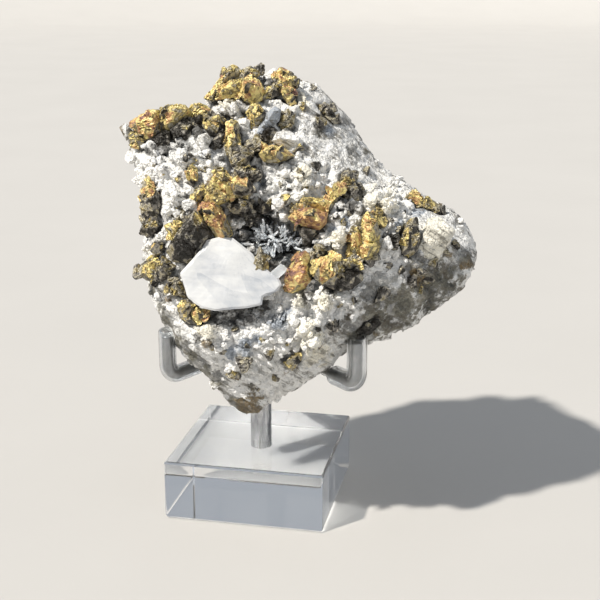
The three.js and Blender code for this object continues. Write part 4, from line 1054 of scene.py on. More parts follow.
def streak_noise(points, size, seed):
    """Smooth noise drawn out eightfold down to the right, along the slope."""
    along = np.array([0.78, 0.25, -0.58])
    along /= np.linalg.norm(along)
    drawn = points - (1 - 1 / 8) * (points @ along)[:, None] * along
    return smooth_noise(drawn, size, seed)


def rock_relief(points, normals):
    """Relief in millimetres and the point values that colour the rock."""
    u, v = seen_at(points)
    facing = ease(-normals[:, 1] + 0.25 * normals[:, 2], -0.15, 0.3) * ease(-points[:, 1], -14, 2)
    smooth_part = nearness(u, v, "smooth") * facing
    crust = ease(facing - 0.85 * ease(smooth_part, 0.15, 0.6), 0.1, 0.7)
    big = domes(points, 8.5, 11)
    middle = domes(points + 2.0, 4.6, 23)
    sugar, _ = facets(points, 1.9, 37)
    fine_sugar, _ = facets(points + 3.0, 0.9, 39)
    streaks = streak_noise(points, 1.2, 41) * 0.6 + streak_noise(points, 3.0, 43)
    line = ease(1 - 2 * np.abs(streak_noise(points, 4.5, 71)), 0.86, 0.97)
    line *= ease(smooth_noise(points, 9, 73), 0.0, 0.5)
    crumble = smooth_noise(points, 2.2, 47) + 0.6 * smooth_noise(points, 1.1, 53)
    lumpy = 1.6 * (big - 0.7) + 1.5 * (middle - 0.78) + 0.22 * sugar + 0.1 * fine_sugar
    sleek = 0.6 * streaks + 0.36 * crumble + 0.24 * sugar + 0.18 * fine_sugar - 0.4 * line
    sleek *= 1 + 1.2 * nearness(u, v, "ridged")
    slabs, _ = facets(points + 1.0, 12.0, 59)
    chunks, _ = facets(points + 5.0, 5.0, 61)
    broken = 1.5 * slabs + 0.7 * chunks + 0.16 * crumble + 0.24 * sugar + 0.12 * fine_sugar
    zones = smooth_noise(points, 17, 63) + 0.4 * smooth_noise(points, 6, 65)
    rusty = smooth_noise(points, 15, 67) + 0.5 * smooth_noise(points, 5, 69)
    plain = facing * sleek + (1 - facing) * broken
    relief = crust * lumpy + (1 - crust) * plain
    # How deep a point lies between lumps; the stone paints blue-grey shade there, and in the low spots of the
    # plain parts
    crease_shade = np.clip(1.05 - (0.4 * big + 0.65 * middle), 0, 1)
    values = {
        "crease_shade": crust * crease_shade + (1 - crust) * ease(-plain, 0.1, 0.9) * 0.5,
        "crust": crust,
        "streak": 0.5 + 0.5 * np.clip(streaks, -1, 1),
        "line": line * (1 - crust) * facing,
    }
    hidden = {"grey_and_underside_shade": 0.45 + 0.5 * zones, "olive_and_underside_shade": 0.35 - 0.7 * zones, "stain": 0.25 + 0.8 * rusty}
    for kind in PATCHES:
        values[kind] = nearness(u, v, kind) * facing + hidden.get(kind, 0) * (1 - facing)
    return relief, values


rock_points, rock_quads = rock_shape()
rock_normals = normals_of(rock_points, rock_quads)
relief, rock_values = rock_relief(rock_points, rock_normals)
beside = np.full(len(rock_points), 9.0)
for boxes in crystal_boxes.values():
    for corners in boxes:
        beside = np.minimum(beside, outside(faces_round(corners), rock_points))
relief = np.where(relief > 0, relief * ease(beside, 0, 3.0), relief)
relief -= 0.8 * (1 - ease(beside, 0, 1.6))
# Painted shade: the rock right beside each crystal is darkened, less where it faces backwards
rock_values["painted_shade"] = np.maximum(rock_values["painted_shade"], 0.75 * (1 - ease(beside, 0.2, 1.8))
                                 * (1 - 0.6 * ease(rock_normals[:, 1], -0.1, 0.4)))
# Painted shade: the creases are deepened right beside the crystals
rock_values["crease_shade"] = np.clip(rock_values["crease_shade"] + 0.35 * (1 - ease(beside, 0, 1.6)), 0, 1)
rock_points = rock_points + rock_normals * relief[:, None]
rock_normals = normals_of(rock_points, rock_quads)
print("relief from", round(relief.min(), 2), "to", round(relief.max(), 2), "mm")

# %% [markdown]
# ### Rock material
# Snow-white where it is sugary, creamier on the large lumps, grey and streaked on the slopes, with
# brown and olive stains. Painted shade is blue-grey in the creases and near-black in the pocket,
# under the blade and beside the crystals, and the grey and olive patches also paint the underside's
# shade. The listed places give the broad patches, and noise breaks up their edges. Fine grain is
# left to the bump.

# %% White and grey stone


def stone_recipe(tree, shader):
    """White skin, with the patches, the painted shade of the creases and dark corners and then the
    fine marks blended over it in turn."""
    mottle = noise(tree, 260, 6.0, 0.65)
    grain = noise(tree, 1400, 4.0, 0.7)
    drawn = streaks_down(tree, 420)
    blocks, block_tone = cells(tree, 700)
    streak = point_value(tree, "streak") * 0.2 + (grain + drawn) * 0.35 + block_tone * 0.1
    skin = ramp(mottle, (0.25, 228, 229, 230), (0.5, 245, 244, 241), (0.75, 250, 249, 246))
    cream = ramp(grain, (0.3, 236, 230, 212), (0.7, 250, 246, 233))
    grey_and_underside_shade = ramp(streak, (0.34, 56, 56, 55), (0.44, 104, 104, 103), (0.5, 132, 131, 128),
                (0.58, 178, 177, 173))
    blue = ramp(grain, (0.3, 128, 138, 152), (0.7, 190, 198, 208))
    olive_and_underside_shade = ramp(streak, (0.36, 42, 42, 33), (0.48, 88, 85, 68), (0.58, 140, 136, 120))
    brown = ramp(grain, (0.3, 62, 52, 36), (0.5, 128, 106, 68), (0.72, 176, 160, 126))
    patch = spread(mottle, 0.38, 0.62, -0.3, 0.35) + spread(block_tone, 0.2, 0.8, -0.12, 0.12)
    # Grey and olive over the underside are painted shade as well as the rock's own colour
    for name, shade, low, high, most in (
        ("cream", cream, 0.35, 0.8, 1.0), ("grey_and_underside_shade", grey_and_underside_shade, 0.42, 0.66, 0.85),
        ("blue", blue, 0.38, 0.75, 0.9), ("olive_and_underside_shade", olive_and_underside_shade, 0.54, 0.78, 0.8),
        ("stain", brown, 0.6, 0.86, 0.85),
    ):
        skin = blend(spread(point_value(tree, name) + patch, low, high, 0, most), skin, shade)
    # Painted shade: blue-grey where the crease value is high
    crease_shade = spread(point_value(tree, "crease_shade") + grain * 0.2, 0.66, 1.15, 0, 0.5)
    # Painted shade: near-black at the listed shade places and beside the crystals
    painted_shade = spread(point_value(tree, "painted_shade") + patch, 0.4, 0.9, 0, 0.88)
    plain = 1.0 - point_value(tree, "crust")
    thin = abs(streaks_down(tree, 260) - 0.5)
    thin = spread(thin, 0.01, 0.05, 1, 0) * spread(mottle, 0.4, 0.55) * plain * 0.75
    fleck = spread(noise(tree, 900, 2.0, 0.5), 0.56, 0.62, 0, 0.25) * plain
    speck = spread(noise(tree, 620, 2.0, 0.5), 0.7, 0.74, 0, 0.8)
    # Painted shade first, blue-grey in the creases and near-black at the shade places; then the real streaks,
    # flecks, lines and specks
    for share, shade in (
        (crease_shade, (132, 135, 140)), (painted_shade, (40, 38, 34)), (thin, (104, 98, 86)), (fleck, (146, 148, 148)),
        (point_value(tree, "line") * 0.7, (98, 90, 76)), (speck, (84, 78, 64)),
    ):
        skin = blend(share, skin, colour(*shade))
    set_inputs(shader, Base_Color=skin, Roughness=spread(grain, 0.3, 0.7, 0.4, 0.7),
               Normal=bump(grain + drawn + (blocks + cells(tree, 1300)[0]), 0.9, 0.0006))


stone = finish("calcite and quartz stone", stone_recipe)
piece("rock", [(rock_points, [rock_quads], rock_values)], stone, ["matrix"])

# %% [markdown]
# ## White lumps
# Over the upper face the calcite has grown as blocky lumps a few millimetres across, with deep
# shadows between them. Hollows under a bulge can't be pushed out of one radius, so each lump is a
# small boulder of its own, half sunk in the rock. All are made as one array: each boulder's radius
# is the nearest of its own random planes, as for a crystal, with noise on top.

# %% Boulders in bulk
square_size = np.linalg.norm(square_ways(rock_points, rock_quads), axis=1)
point_area = gathered(rock_quads, square_size, len(rock_points))
FLAT_BLOCKS = [0, 1, 3, 7, 12]   # lumps that keep their flat faces, so no boulder sits on them
on_flat = np.min([outside(lump_boxes[k], rock_points) for k in FLAT_BLOCKS], axis=0)
lump_chance = (point_area * ease(on_flat, 0.6, 1.6) * ease(rock_values["crust"], 0.6, 0.95)
               * ease(beside, 0.3, 1.4)
               * (1.02 - np.clip(rock_values["crease_shade"], 0, 1)) ** 1.5
               * (1 - ease(rock_values["blue"], 0.15, 0.5)) * (1 + 3 * rock_values["cream"]))


def scattered(rng, count, chance):
    """Row numbers of rock points drawn by chance, each at most once."""
    return rng.choice(len(chance), count, replace=False, p=chance / chance.sum())


def boulders(centres, radii, steps, rng, plane_count=9, sharpness=22):
    """radius = size · (sum of (cosine / distance)^p)^(-1/p) over each boulder's own planes."""
    ways, quads = ball(steps)
    planes = rng.normal(size=(len(centres), plane_count, 3))
    planes /= np.linalg.norm(planes, axis=2)[..., None]
    reach = rng.uniform(0.5, 0.95, (len(centres), 1, plane_count))
    pull = np.clip(np.einsum("wk,npk->nwp", ways, planes), 0, None) / reach
    radius = ((pull ** sharpness).sum(axis=2) + 0.25) ** (-1 / sharpness) * radii[:, None]
    points = (centres[:, None] + ways[None] * radius[..., None]).reshape(-1, 3)
    rough = 0.16 * smooth_noise(points, 1.4, 83) + 0.2 * facets(points, 0.9, 85)[0]
    points = points + np.tile(ways, (len(centres), 1)) * rough[:, None]
    start = (np.arange(len(centres)) * len(ways))[:, None, None]
    return points, [(quads[None] + start).reshape(-1, 4)]


def sown(name, count, smallest, largest, sunk, steps, seed):
    """A piece of boulders on the rock, each with the colours of the rock point that it sits on."""
    rng = np.random.default_rng(seed)
    rows = scattered(rng, count, lump_chance)
    radii = smallest + (largest - smallest) * rng.uniform(0, 1, count) ** 1.6
    centres = rock_points[rows] + rock_normals[rows] * (radii * (1 - sunk) - 0.2)[:, None]
    points, tables = boulders(centres, radii, steps, rng)
    values = {key: np.repeat(table[rows], len(points) // count) for key, table in rock_values.items()}
    # Boulders stand proud, so they take little of the painted crease shade
    values["crease_shade"] = values["crease_shade"] * 0.1
    values["grey_and_underside_shade"] = values["grey_and_underside_shade"] * 0.5
    piece(name, [(points, tables, values)], stone, smooth=False)


sown("white_lumps", 120, 1.2, 2.3, 0.66, 10, 5)
sown("white_grains", 900, 0.4, 1.1, 0.5, 3, 6)

# %% [markdown]
# ## The sugary crust
# The white lumps sparkle because they are made of crystals a millimetre across. Each is a six-sided
# prism with a point, a few dozen faces, copied thousands of times with its own size, turn and
# place. One array of corner offsets times one array of axes makes them all at once.

# %% Prisms in bulk
PRISM_SIDES = 6


def prisms(feet, ways, halves, lengths, turns, point_share):
    """Six-sided prisms: a foot ring, a shoulder ring, a tip and a foot middle. Each ring point is
    foot + half·(cos·side + sin·across) + height·way."""
    count = len(feet)
    helper = np.where(np.abs(ways[:, 2:3]) < 0.9, [[0.0, 0.0, 1.0]], [[1.0, 0.0, 0.0]])
    side = np.cross(helper, ways)
    side /= np.linalg.norm(side, axis=1)[:, None]
    across = np.cross(ways, side)
    angle = turns[:, None] + np.arange(PRISM_SIDES) / PRISM_SIDES * 2 * math.pi
    ring = (np.cos(angle)[..., None] * side[:, None] + np.sin(angle)[..., None] * across[:, None])
    ring = ring * halves[:, None, None]
    foot = feet[:, None] + ring
    shoulder = feet[:, None] + ring + (ways * (lengths * point_share)[:, None])[:, None]
    tip = (feet + ways * lengths[:, None])[:, None]
    points = np.concatenate([foot, shoulder, tip, feet[:, None]], axis=1).reshape(-1, 3)
    k = np.arange(PRISM_SIDES)
    after = (k + 1) % PRISM_SIDES
    walls = np.stack([k, after, after + PRISM_SIDES, k + PRISM_SIDES], axis=1)
    top = np.stack([k + PRISM_SIDES, after + PRISM_SIDES, np.full(PRISM_SIDES, 2 * PRISM_SIDES)], axis=1)
    bottom = np.stack([after, k, np.full(PRISM_SIDES, 2 * PRISM_SIDES + 1)], axis=1)
    start = (np.arange(count) * (2 * PRISM_SIDES + 2))[:, None, None]
    quads = (walls[None] + start).reshape(-1, 4)
    triangles = (np.concatenate([top, bottom])[None] + start).reshape(-1, 3)
    return points, [quads, triangles]


def leaning(rng, normals, spread_share):
    """Directions near the outward ones, tipped at random."""
    tipped = normals + spread_share * rng.normal(size=normals.shape)
    return tipped / np.linalg.norm(tipped, axis=1)[:, None]


CRUST_COUNT = 800
rng = np.random.default_rng(7)
clear_of_crystals = ease(beside, 0.6, 1.6)
top_of_lump = 1 - 0.6 * rock_values["crease_shade"]
chance = point_area * (0.02 + rock_values["crust"] ** 2) * clear_of_crystals * top_of_lump
chance *= ease(on_flat, 0.6, 1.6)
rows = scattered(rng, CRUST_COUNT, chance)
half = rng.uniform(0.22, 0.55, CRUST_COUNT) * (0.6 + 0.5 * rock_values["crust"][rows])
length = half * rng.uniform(1.2, 2.6, CRUST_COUNT)
way = leaning(rng, rock_normals[rows], 0.6)
crust_points, crust_tables = prisms(
    rock_points[rows] - way * (0.45 * length)[:, None], way, half, length + 0.3,
    rng.uniform(0, math.pi, CRUST_COUNT), 0.6,
)
per_prism = 2 * PRISM_SIDES + 2
crust_values = {key: np.repeat(table[rows], per_prism) for key, table in rock_values.items()}
# Prisms take less of the painted crease shade
crust_values["crease_shade"] = crust_values["crease_shade"] * 0.6
piece("sugary_crust", [(crust_points, crust_tables, crust_values)], stone, smooth=False)

# %% [markdown]
# ## Chalcopyrite
# Brass-coloured sulphide. Its crystals are wedges with striped and stepped faces, so rough that
# they look hacked. Each is a ball whose radius is the nearest face plane. A power sum instead of
# the plain nearest rounds the edges a little. A few random planes chip the corners, stripes run
# across each face in one direction, and grains break the surface up.

# %% Growth steps


def terraces(run, seed_noise):
    """Growth steps: the height climbs gently along the run and drops at each whole number. Returns
    the height from -0.5 to 0.5 and how near the foot of a drop lies."""
    share = (run + seed_noise) % 1.0
    return share - 0.5, 1 - ease(share, 0.02, 0.3)


# %% One crystal
EDGE_SHARPNESS = 90              # higher gives sharper edges
CRYSTAL_CELL = 0.27              # mm between points
GROWN = 1.05                     # steps and chips take a little off, so it starts larger
BLOCKS = 3                       # blocks grown together in one crystal
CHIPS = 5                        # planes that cut each block
STEP_PITCH = 1.25                # mm between growth steps
# Faces towards the upper left front, the key lamp's side, are hackly and get the bright tone, partly painted
# light; the others are smooth and get the dull grey tone, partly painted shade
HACKLY_AND_LIT_WAY = np.array([-0.35, -0.5, 0.79])


def chip_planes(corners, middle, rng, deepest):
    """For each block, planes in random directions that cut the corners back to a share of their
    reach."""
    ways = rng.normal(size=(BLOCKS, CHIPS, 3))
    ways /= np.linalg.norm(ways, axis=2)[..., None]
    reach = np.einsum("bck,nk->bcn", ways, corners - middle).max(axis=2)
    return ways, reach * rng.uniform(deepest, 0.98, (BLOCKS, CHIPS))


def crystal(corners, seed, tone=0.55, hackle=1.0, stripes=1.0, deepest=0.6, dull=0.15):
    """Each block's radius is (sum of (cosine / distance)^p)^(-1/p) over its planes, and the crystal
    takes the largest of its blocks. Steps and small facets then move each point along its face."""
    rng = np.random.default_rng(seed)
    corners = np.asarray(corners, float)
    middle = corners.mean(axis=0)
    corners = middle + GROWN * (corners - middle)
    size = np.linalg.norm(corners - middle, axis=1).max() * 2
    normal, distance = faces_round(corners)
    chip, chip_reach = chip_planes(corners, middle, rng, deepest)
    ways, quads = ball(int(np.clip(round(0.62 * size / CRYSTAL_CELL), 8, 44)))
    own_pull = np.clip(ways @ normal.T, 0, None) / (distance - normal @ middle)
    chip_pull = np.clip(np.einsum("wk,bck->wbc", ways, chip), 0, None) / chip_reach
    pulls = np.concatenate([np.repeat(own_pull[:, None], BLOCKS, axis=1), chip_pull], axis=2)
    block_pull = (pulls ** EDGE_SHARPNESS).sum(axis=2) ** (1 / EDGE_SHARPNESS)
    block = block_pull.argmin(axis=1)
    row = np.arange(len(ways))
    face = pulls[row, block].argmax(axis=1)
    points = middle + ways / block_pull[row, block][:, None]
    planes = np.concatenate([np.repeat(normal[None], BLOCKS, axis=0), chip], axis=1)
    out = planes[block, face]
    axis = rng.normal(size=3) + [0, 0, 1.5]
    across = np.cross(out, np.cross(out, axis))
    across /= np.maximum(np.linalg.norm(across, axis=1), 1e-6)[:, None]
    pitch = STEP_PITCH * min(1.0, 0.35 + size / 14)
    coarse, coarse_own = facets(points, 2.4, seed + 5)
    fine, fine_own = facets(points, 1.0, seed + 9)
    wander = 0.5 * smooth_noise(points, 2.0, seed) + 0.8 * coarse_own + 0.37 * block
    step, foot = terraces(np.sum(points * across, axis=1) / pitch, wander)
    strength = min(1.0, 0.25 + size / 12)
    # Painted light and shade: faces turned to the lamp take the bright tone, the others the dull one
    away = planes @ HACKLY_AND_LIT_WAY + rng.normal(0, 0.25, planes.shape[:2])
    hackly_and_lit = ease(away, -0.1, 0.4)[block, face]
    striped = ease(smooth_noise(points, 4.0, seed + 3), -0.7, 0.0)
    relief = strength * (
        0.45 * stripes * step * striped * (0.25 + 0.75 * hackly_and_lit)
        + hackle * (0.36 * coarse + 0.2 * fine) * (0.15 + 0.85 * hackly_and_lit)
        + 0.08 * smooth_noise(points, 1.4, seed + 21)
    )
    points = points + out * relief[:, None]
    face_tone = rng.normal(0, 0.09, planes.shape[:2])[block, face]
    patch = 0.14 * smooth_noise(points, 3.2, seed + 13) + 0.26 * (coarse_own - 0.5) + 0.2 * (fine_own - 0.5)
    # dull: tone of the faces turned from the lamp, partly their own dull grey, partly painted shade
    shaded_smooth_tone = min(dull, tone + 0.08)
    values = {
        "tone": np.clip(shaded_smooth_tone + (tone - shaded_smooth_tone) * hackly_and_lit + face_tone + patch, 0, 1),
        # Painted shade at the foot of each growth step and in the low spots of the relief
        "groove_shade": np.clip(0.8 * foot * striped * (0.3 + 0.7 * hackly_and_lit) - relief / strength * 0.8, 0, 1),
        "hackly_and_lit": hackly_and_lit,
    }
    return points, [quads], values


# %% Spurs
SPUR_SHARE = 0.16                # half size of a spur as a share of the crystal's size
SPUR_SIZES = (0.8, 1.8)          # mm


def spurs(corners, outer, seed, tone, hackle):
    """Small wedges that poke out at some of the crystal's outer corners, each turned its own way,
    so that the outline isn't one smooth block."""
    rng = np.random.default_rng(seed)
    middle = corners.mean(axis=0)
    size = 2 * np.linalg.norm(corners - middle, axis=1).max()
    half = float(np.clip(SPUR_SHARE * size, *SPUR_SIZES))
    count = int(np.clip(round(size / 4), 1, 3))
    made = []
    for k, corner in enumerate(rng.choice(outer, count, replace=False)):
        turn = np.linalg.qr(rng.normal(size=(3, 3)))[0]
        at = corner + (middle - corner) * rng.uniform(0.12, 0.3)
        wedge = sphenoid() * half * rng.uniform(0.6, 1.25, 3)
        made.append(crystal(at + wedge @ turn, seed + k, tone + rng.normal(0, 0.08), hackle))
    return made


# %% [markdown]
# ### Brass, tarnished
# Fresh faces are bright yellow metal. With age they turn orange, olive, brown and a purplish grey.
# The tone that each facet carries picks a colour from one ramp of these tarnishes, whose
# near-black end is painted shade for crystals and faces that lie in shadow. The grooves get
# painted shade, and duller tarnish is rougher and less metallic.

# %% Tarnished metal


def brass_recipe(tree, shader):
    """The tone picks the tarnish, dark tones and grooves are painted shade, and small blocks roughen the
    hackly faces.
    """
    mottle = noise(tree, 420, 5.0, 0.65)
    grain = noise(tree, 1800, 3.0, 0.6)
    blocks, block_tone = cells(tree, 800)
    tone = point_value(tree, "tone") + spread(mottle, 0.3, 0.7, -0.1, 0.1)
    tone = tone + spread(block_tone, 0, 1, -0.09, 0.09)
    # The ramp's near-black and dark grey end is painted shade; the rest are tarnish colours
    tarnish = ramp(
        tone, (0.0, 30, 27, 21), (0.12, 68, 65, 60), (0.23, 134, 130, 124), (0.33, 194, 186, 162),
        (0.42, 112, 102, 74), (0.52, 172, 155, 110), (0.61, 240, 224, 150), (0.7, 238, 218, 156),
        (0.8, 216, 182, 128), (0.9, 192, 148, 104), (1.0, 146, 112, 104),
    )
    groove_shade = point_value(tree, "groove_shade") + spread(grain, 0.3, 0.7, -0.2, 0.2)
    # Painted shade: dark brown in the grooves
    skin = blend(spread(groove_shade, 0.22, 0.75, 0, 0.92), tarnish, colour(40, 32, 20))
    rough = (blocks + cells(tree, 1900)[0] * 0.5) * spread(point_value(tree, "hackly_and_lit"), 0, 1, 0.15, 1.0)
    set_inputs(shader, Base_Color=skin, Metallic=spread(tone, 0.1, 0.5, 0.2, 0.5),
               Roughness=spread(mottle, 0.35, 0.7, 0.34, 0.54),
               Normal=bump(grain * 0.4 + mottle * 0.6 + rough, 0.8, 0.0006))


brass = finish("tarnished chalcopyrite", brass_recipe)

# %% White blocks
# The white crystals with plain flat faces, over the lumps that the rock has in their places
block_shapes = []
for k in FLAT_BLOCKS:
    points, tables, _ = crystal(crystal_corners(*WHITE_BLOCKS[k]), 3000 + k, hackle=0.08, stripes=0.0,
                                deepest=0.97)
    u, v = np.array(WHITE_BLOCKS[k][0], float).mean(axis=0)[:, None]
    values = {key: np.zeros(len(points)) for key in rock_values}
    values["streak"] += 0.5
    values["cream"] += nearness(u, v, "cream")
    values["blue"] += nearness(u, v, "blue")
    block_shapes.append((points, tables, values))
piece("white_blocks", block_shapes, stone, smooth=False)

# %% Tones of the clusters, one number a crystal
# 0 near-black brown, painted shade for crystals that lie in shadow, 0.2 grey, 0.35 olive, 0.6 yellow, 0.9
# orange
TONES_AND_SHADE = {
    "left_top": [0.76, 0.46, 0.0], "cracked": [0.6, 0.04, 0.62, 0.0], "grooved": [0.42, 0.02],
    "column": [0.54, 0.24, 0.34], "crown": [0.56, 0.34, 0.68, 0.7],
    "crown_right": [0.64, 0.74, 0.5], "under_crown": [0.58], "shaded": [0.1], "lens": [0.66],
    "heart": [0.68, 0.58, 0.8, 0.62, 0.36, 0.12, 0.06, 0.86], "heart_left": [0.54],
    "seed_upper": [0.7], "left_flank": [0.74, 0.26, 0.3], "dark_face": [0.16, 0.6],
    "left_spur": [0.52, 0.36], "left_seed": [0.36], "kite": [0.44], "on_blade": [0.34],
    "below_blade": [0.5, 0.68], "wedge": [0.8, 0.1, 0.6], "pale_ridge": [0.36, 0.74, 0.28],
    "bright": [0.6, 0.6, 0.62, 0.66], "oblong": [0.88],
    "lower_group": [0.62, 0.02, 0.4, 0.34], "right": [0.4], "rim": [0.6, 0.36],
    "slope_high": [0.26], "slope_left": [0.34], "middle_seed": [0.16], "chin_right": [0.42],
    "right_low": [0.1], "back_upper": [0.5], "back_left": [0.6], "back_middle": [0.4],
    "back_right": [0.55], "back_low": [0.45],
}

# The same for the smooth faces turned from the lamp, partly painted shade, where they aren't dark grey
DULL_AND_SHADED_TONES = {
    "cracked": [0.5, 0.02, 0.46, 0.02], "crown": [0.32, 0.3, 0.6, 0.6], "dark_face": [0.07, 0.3],
    "wedge": [0.8, 0.1, 0.5], "kite": [0.42], "oblong": [0.6], "bright": [0.5, 0.44, 0.5, 0.6],
    "left_top": [0.4, 0.3, 0.0], "pale_ridge": [0.3, 0.5, 0.2], "lens": [0.42], "on_blade": [0.3],
    "heart": [0.5, 0.4, 0.7, 0.2, 0.2, 0.08, 0.06, 0.3], "slope_left": [0.32],
}
LARGE_FACED = ["wedge", "kite", "dark_face", "below_blade", "cracked", "lens", "oblong"]
WHOLE = LARGE_FACED + ["heart", "left_top", "left_flank", "column"]      # only lightly chipped
FINGER = ("heart", 7)            # the long smooth crystal at the foot of the heart
# Dark grey for smooth faces turned from the lamp: partly their own dull colour, partly painted shade
DULL_AND_SHADED = 0.15

# %% All clusters
for cluster, (name, boxes) in enumerate(crystal_boxes.items()):
    shapes = []
    for k, corners in enumerate(boxes):
        tone, hackle = TONES_AND_SHADE[name][k], 0.3 if name in LARGE_FACED else 0.65
        outer = corners[:len(corners) * 3 // 4]
        deepest = 0.86 if name in WHOLE else 0.7
        if (name, k) == FINGER:
            deepest, hackle = 0.96, 0.4
        dull = DULL_AND_SHADED_TONES[name][k] if name in DULL_AND_SHADED_TONES else DULL_AND_SHADED
        shapes.append(crystal(corners, 100 * cluster + k, tone, hackle, deepest=deepest, dull=dull))
        shapes += spurs(corners, outer, 5000 + 100 * cluster + 10 * k, tone, 0.4 * hackle)
    piece("crystals_" + name, shapes, brass, ["chalcopyrite_" + name], smooth=False)

# %% [markdown]
# ## Seeds
# Many small chalcopyrite crystals sit between the white lumps. Each is a small wedge with chipped
# corners, seated on the rock where the sight line through its place meets it.

# %% Small seeds on the face
# Place and half width: u, v, mm
SEEDS = numbers("""
  185,159,0.8 190,156,0.7 195,160,0.9 193,165,0.8 188,166,0.7 178,179,1.0 191,184,1.6 172,211,0.8
  178,208,0.7 183,213,0.9 179,217,0.8 173,216,0.7 234,104,1.6 254,175,1.8 300,173,1.3 315,166,1.3
  285,199,1.3 299,149,1.6 320,120,1.5 270,353,1.5 233,373,1.6 244,364,1.7 333,325,1.8 380,294,1.9
  366,171,1.3 392,240,1.9 313,88,1.2 304,106,1.1 158,190,0.9 163,176,0.7 155,165,0.8 203,170,0.9
  208,158,0.8 286,176,0.8 281,184,0.9 289,190,0.9 305,188,0.8 243,120,0.9 236,114,0.8 222,104,0.8
  262,340,0.9 248,345,0.8 224,352,1.0 212,346,0.9 236,330,0.9 300,330,0.8 288,342,0.9 318,330,0.9
  276,378,1.0 258,388,0.9 355,300,1.0 340,305,0.9 401,270,1.1 388,265,1.0 432,262,1.2 444,252,1.3
  455,244,1.2 420,290,1.1 412,282,1.4 421,272,1.5 428,280,1.2 398,228,0.9 390,222,0.8 405,214,0.8
  344,222,0.9 337,216,0.8 350,214,0.9 290,206,0.9 279,214,0.8 246,230,0.9
""")


def on_rock(u, v):
    """Row of the rock point seen nearest to a place, among those in front."""
    seen_u, seen_v = rock_seen
    away = np.hypot(seen_u - u, seen_v - v) + 0.08 * np.clip(rock_points[:, 1] + 60, 0, 100)
    return np.where(rock_normals[:, 1] < 0.2, away, 1e3).argmin()


rock_seen = seen_at(rock_points)
seed_shapes = []
for k, (u, v, half_width) in enumerate(SEEDS):
    row = on_rock(u, v)
    rng = np.random.default_rng(900 + k)
    way = leaning(rng, rock_normals[row][None], 0.35)[0]
    side = np.cross(way, [0.0, 0.0, 1.0])
    side = turned_about(side / np.linalg.norm(side), way, rng.uniform(0, math.pi))
    axes = np.stack([way, side, np.cross(way, side)])
    shape = sphenoid() * half_width * 1.25 * rng.uniform(0.7, 1.2, 3)
    seed_shapes.append(crystal(rock_points[row] + shape @ axes, 2000 + k, rng.uniform(0.05, 0.5), 0.7))
piece("crystal_seeds", seed_shapes, brass, smooth=False)

# %% [markdown]
# ## The calcite blade
# A flat white crystal that leans out of the face. It is built of a few thin plates that end in
# steps at the right. Each plate is a star-shaped outline: a front and a back surface over angle
# and share from the middle, joined round the rim, with a small bevel.

# %% Plates
# Plates, then a thin growth step on the front: outline | set back (below 0 stands in front), thickness
BLADE_LAYERS = number_rows("""
  180,273 189,263 203,247 207,240 219,237 233,238 253,254 261,268 263,296 262,305 248,308 215,311
  202,308 188,298 | 0,2.8 ;
  240,262 252,254 270,272 281,281 280,289 269,296 250,298 | 0.5,1.9 ;
  181,273 189,264 196,255 204,248 207,241 219,238 233,238 243,246 252,254 262,265 270,272 279,279
  282,285 276,292 268,294 263,297 262,304 248,308 232,309 215,311 202,308 194,303 187,296 184,285
  | -0.15,1""")
BLADE_FOOT = 311
BLADE_FOOT_DEPTH = -47
BLADE_LEAN = 0.125
PLATE_ANGLES = 240
PLATE_RINGS = 46
PLATE_BEVEL = 0.35               # mm
FAN_APEX = [236, 236]            # growth lines fan out from here
FAN_LINES = 26                   # in half a turn
FAN_HEIGHT = 0.03                # mm


def edge_reach(outline, middle, angles):
    """Distance from the middle to a straight-sided outline at each angle: the nearest crossing of
    the ray with any side."""
    start = outline - middle
    side = np.roll(start, -1, axis=0) - start
    ray = np.stack([np.cos(angles), np.sin(angles)], axis=1)
    cross = ray[:, 0:1] * side[:, 1] - ray[:, 1:2] * side[:, 0]
    with np.errstate(divide="ignore", invalid="ignore"):
        reach = (start[:, 0] * side[:, 1] - start[:, 1] * side[:, 0]) / cross
        along = (start[:, 0] * ray[:, 1:2] - start[:, 1] * ray[:, 0:1]) / cross
    return np.where((reach > 0) & (along >= -1e-6) & (along <= 1 + 1e-6), reach, np.inf).min(axis=1)


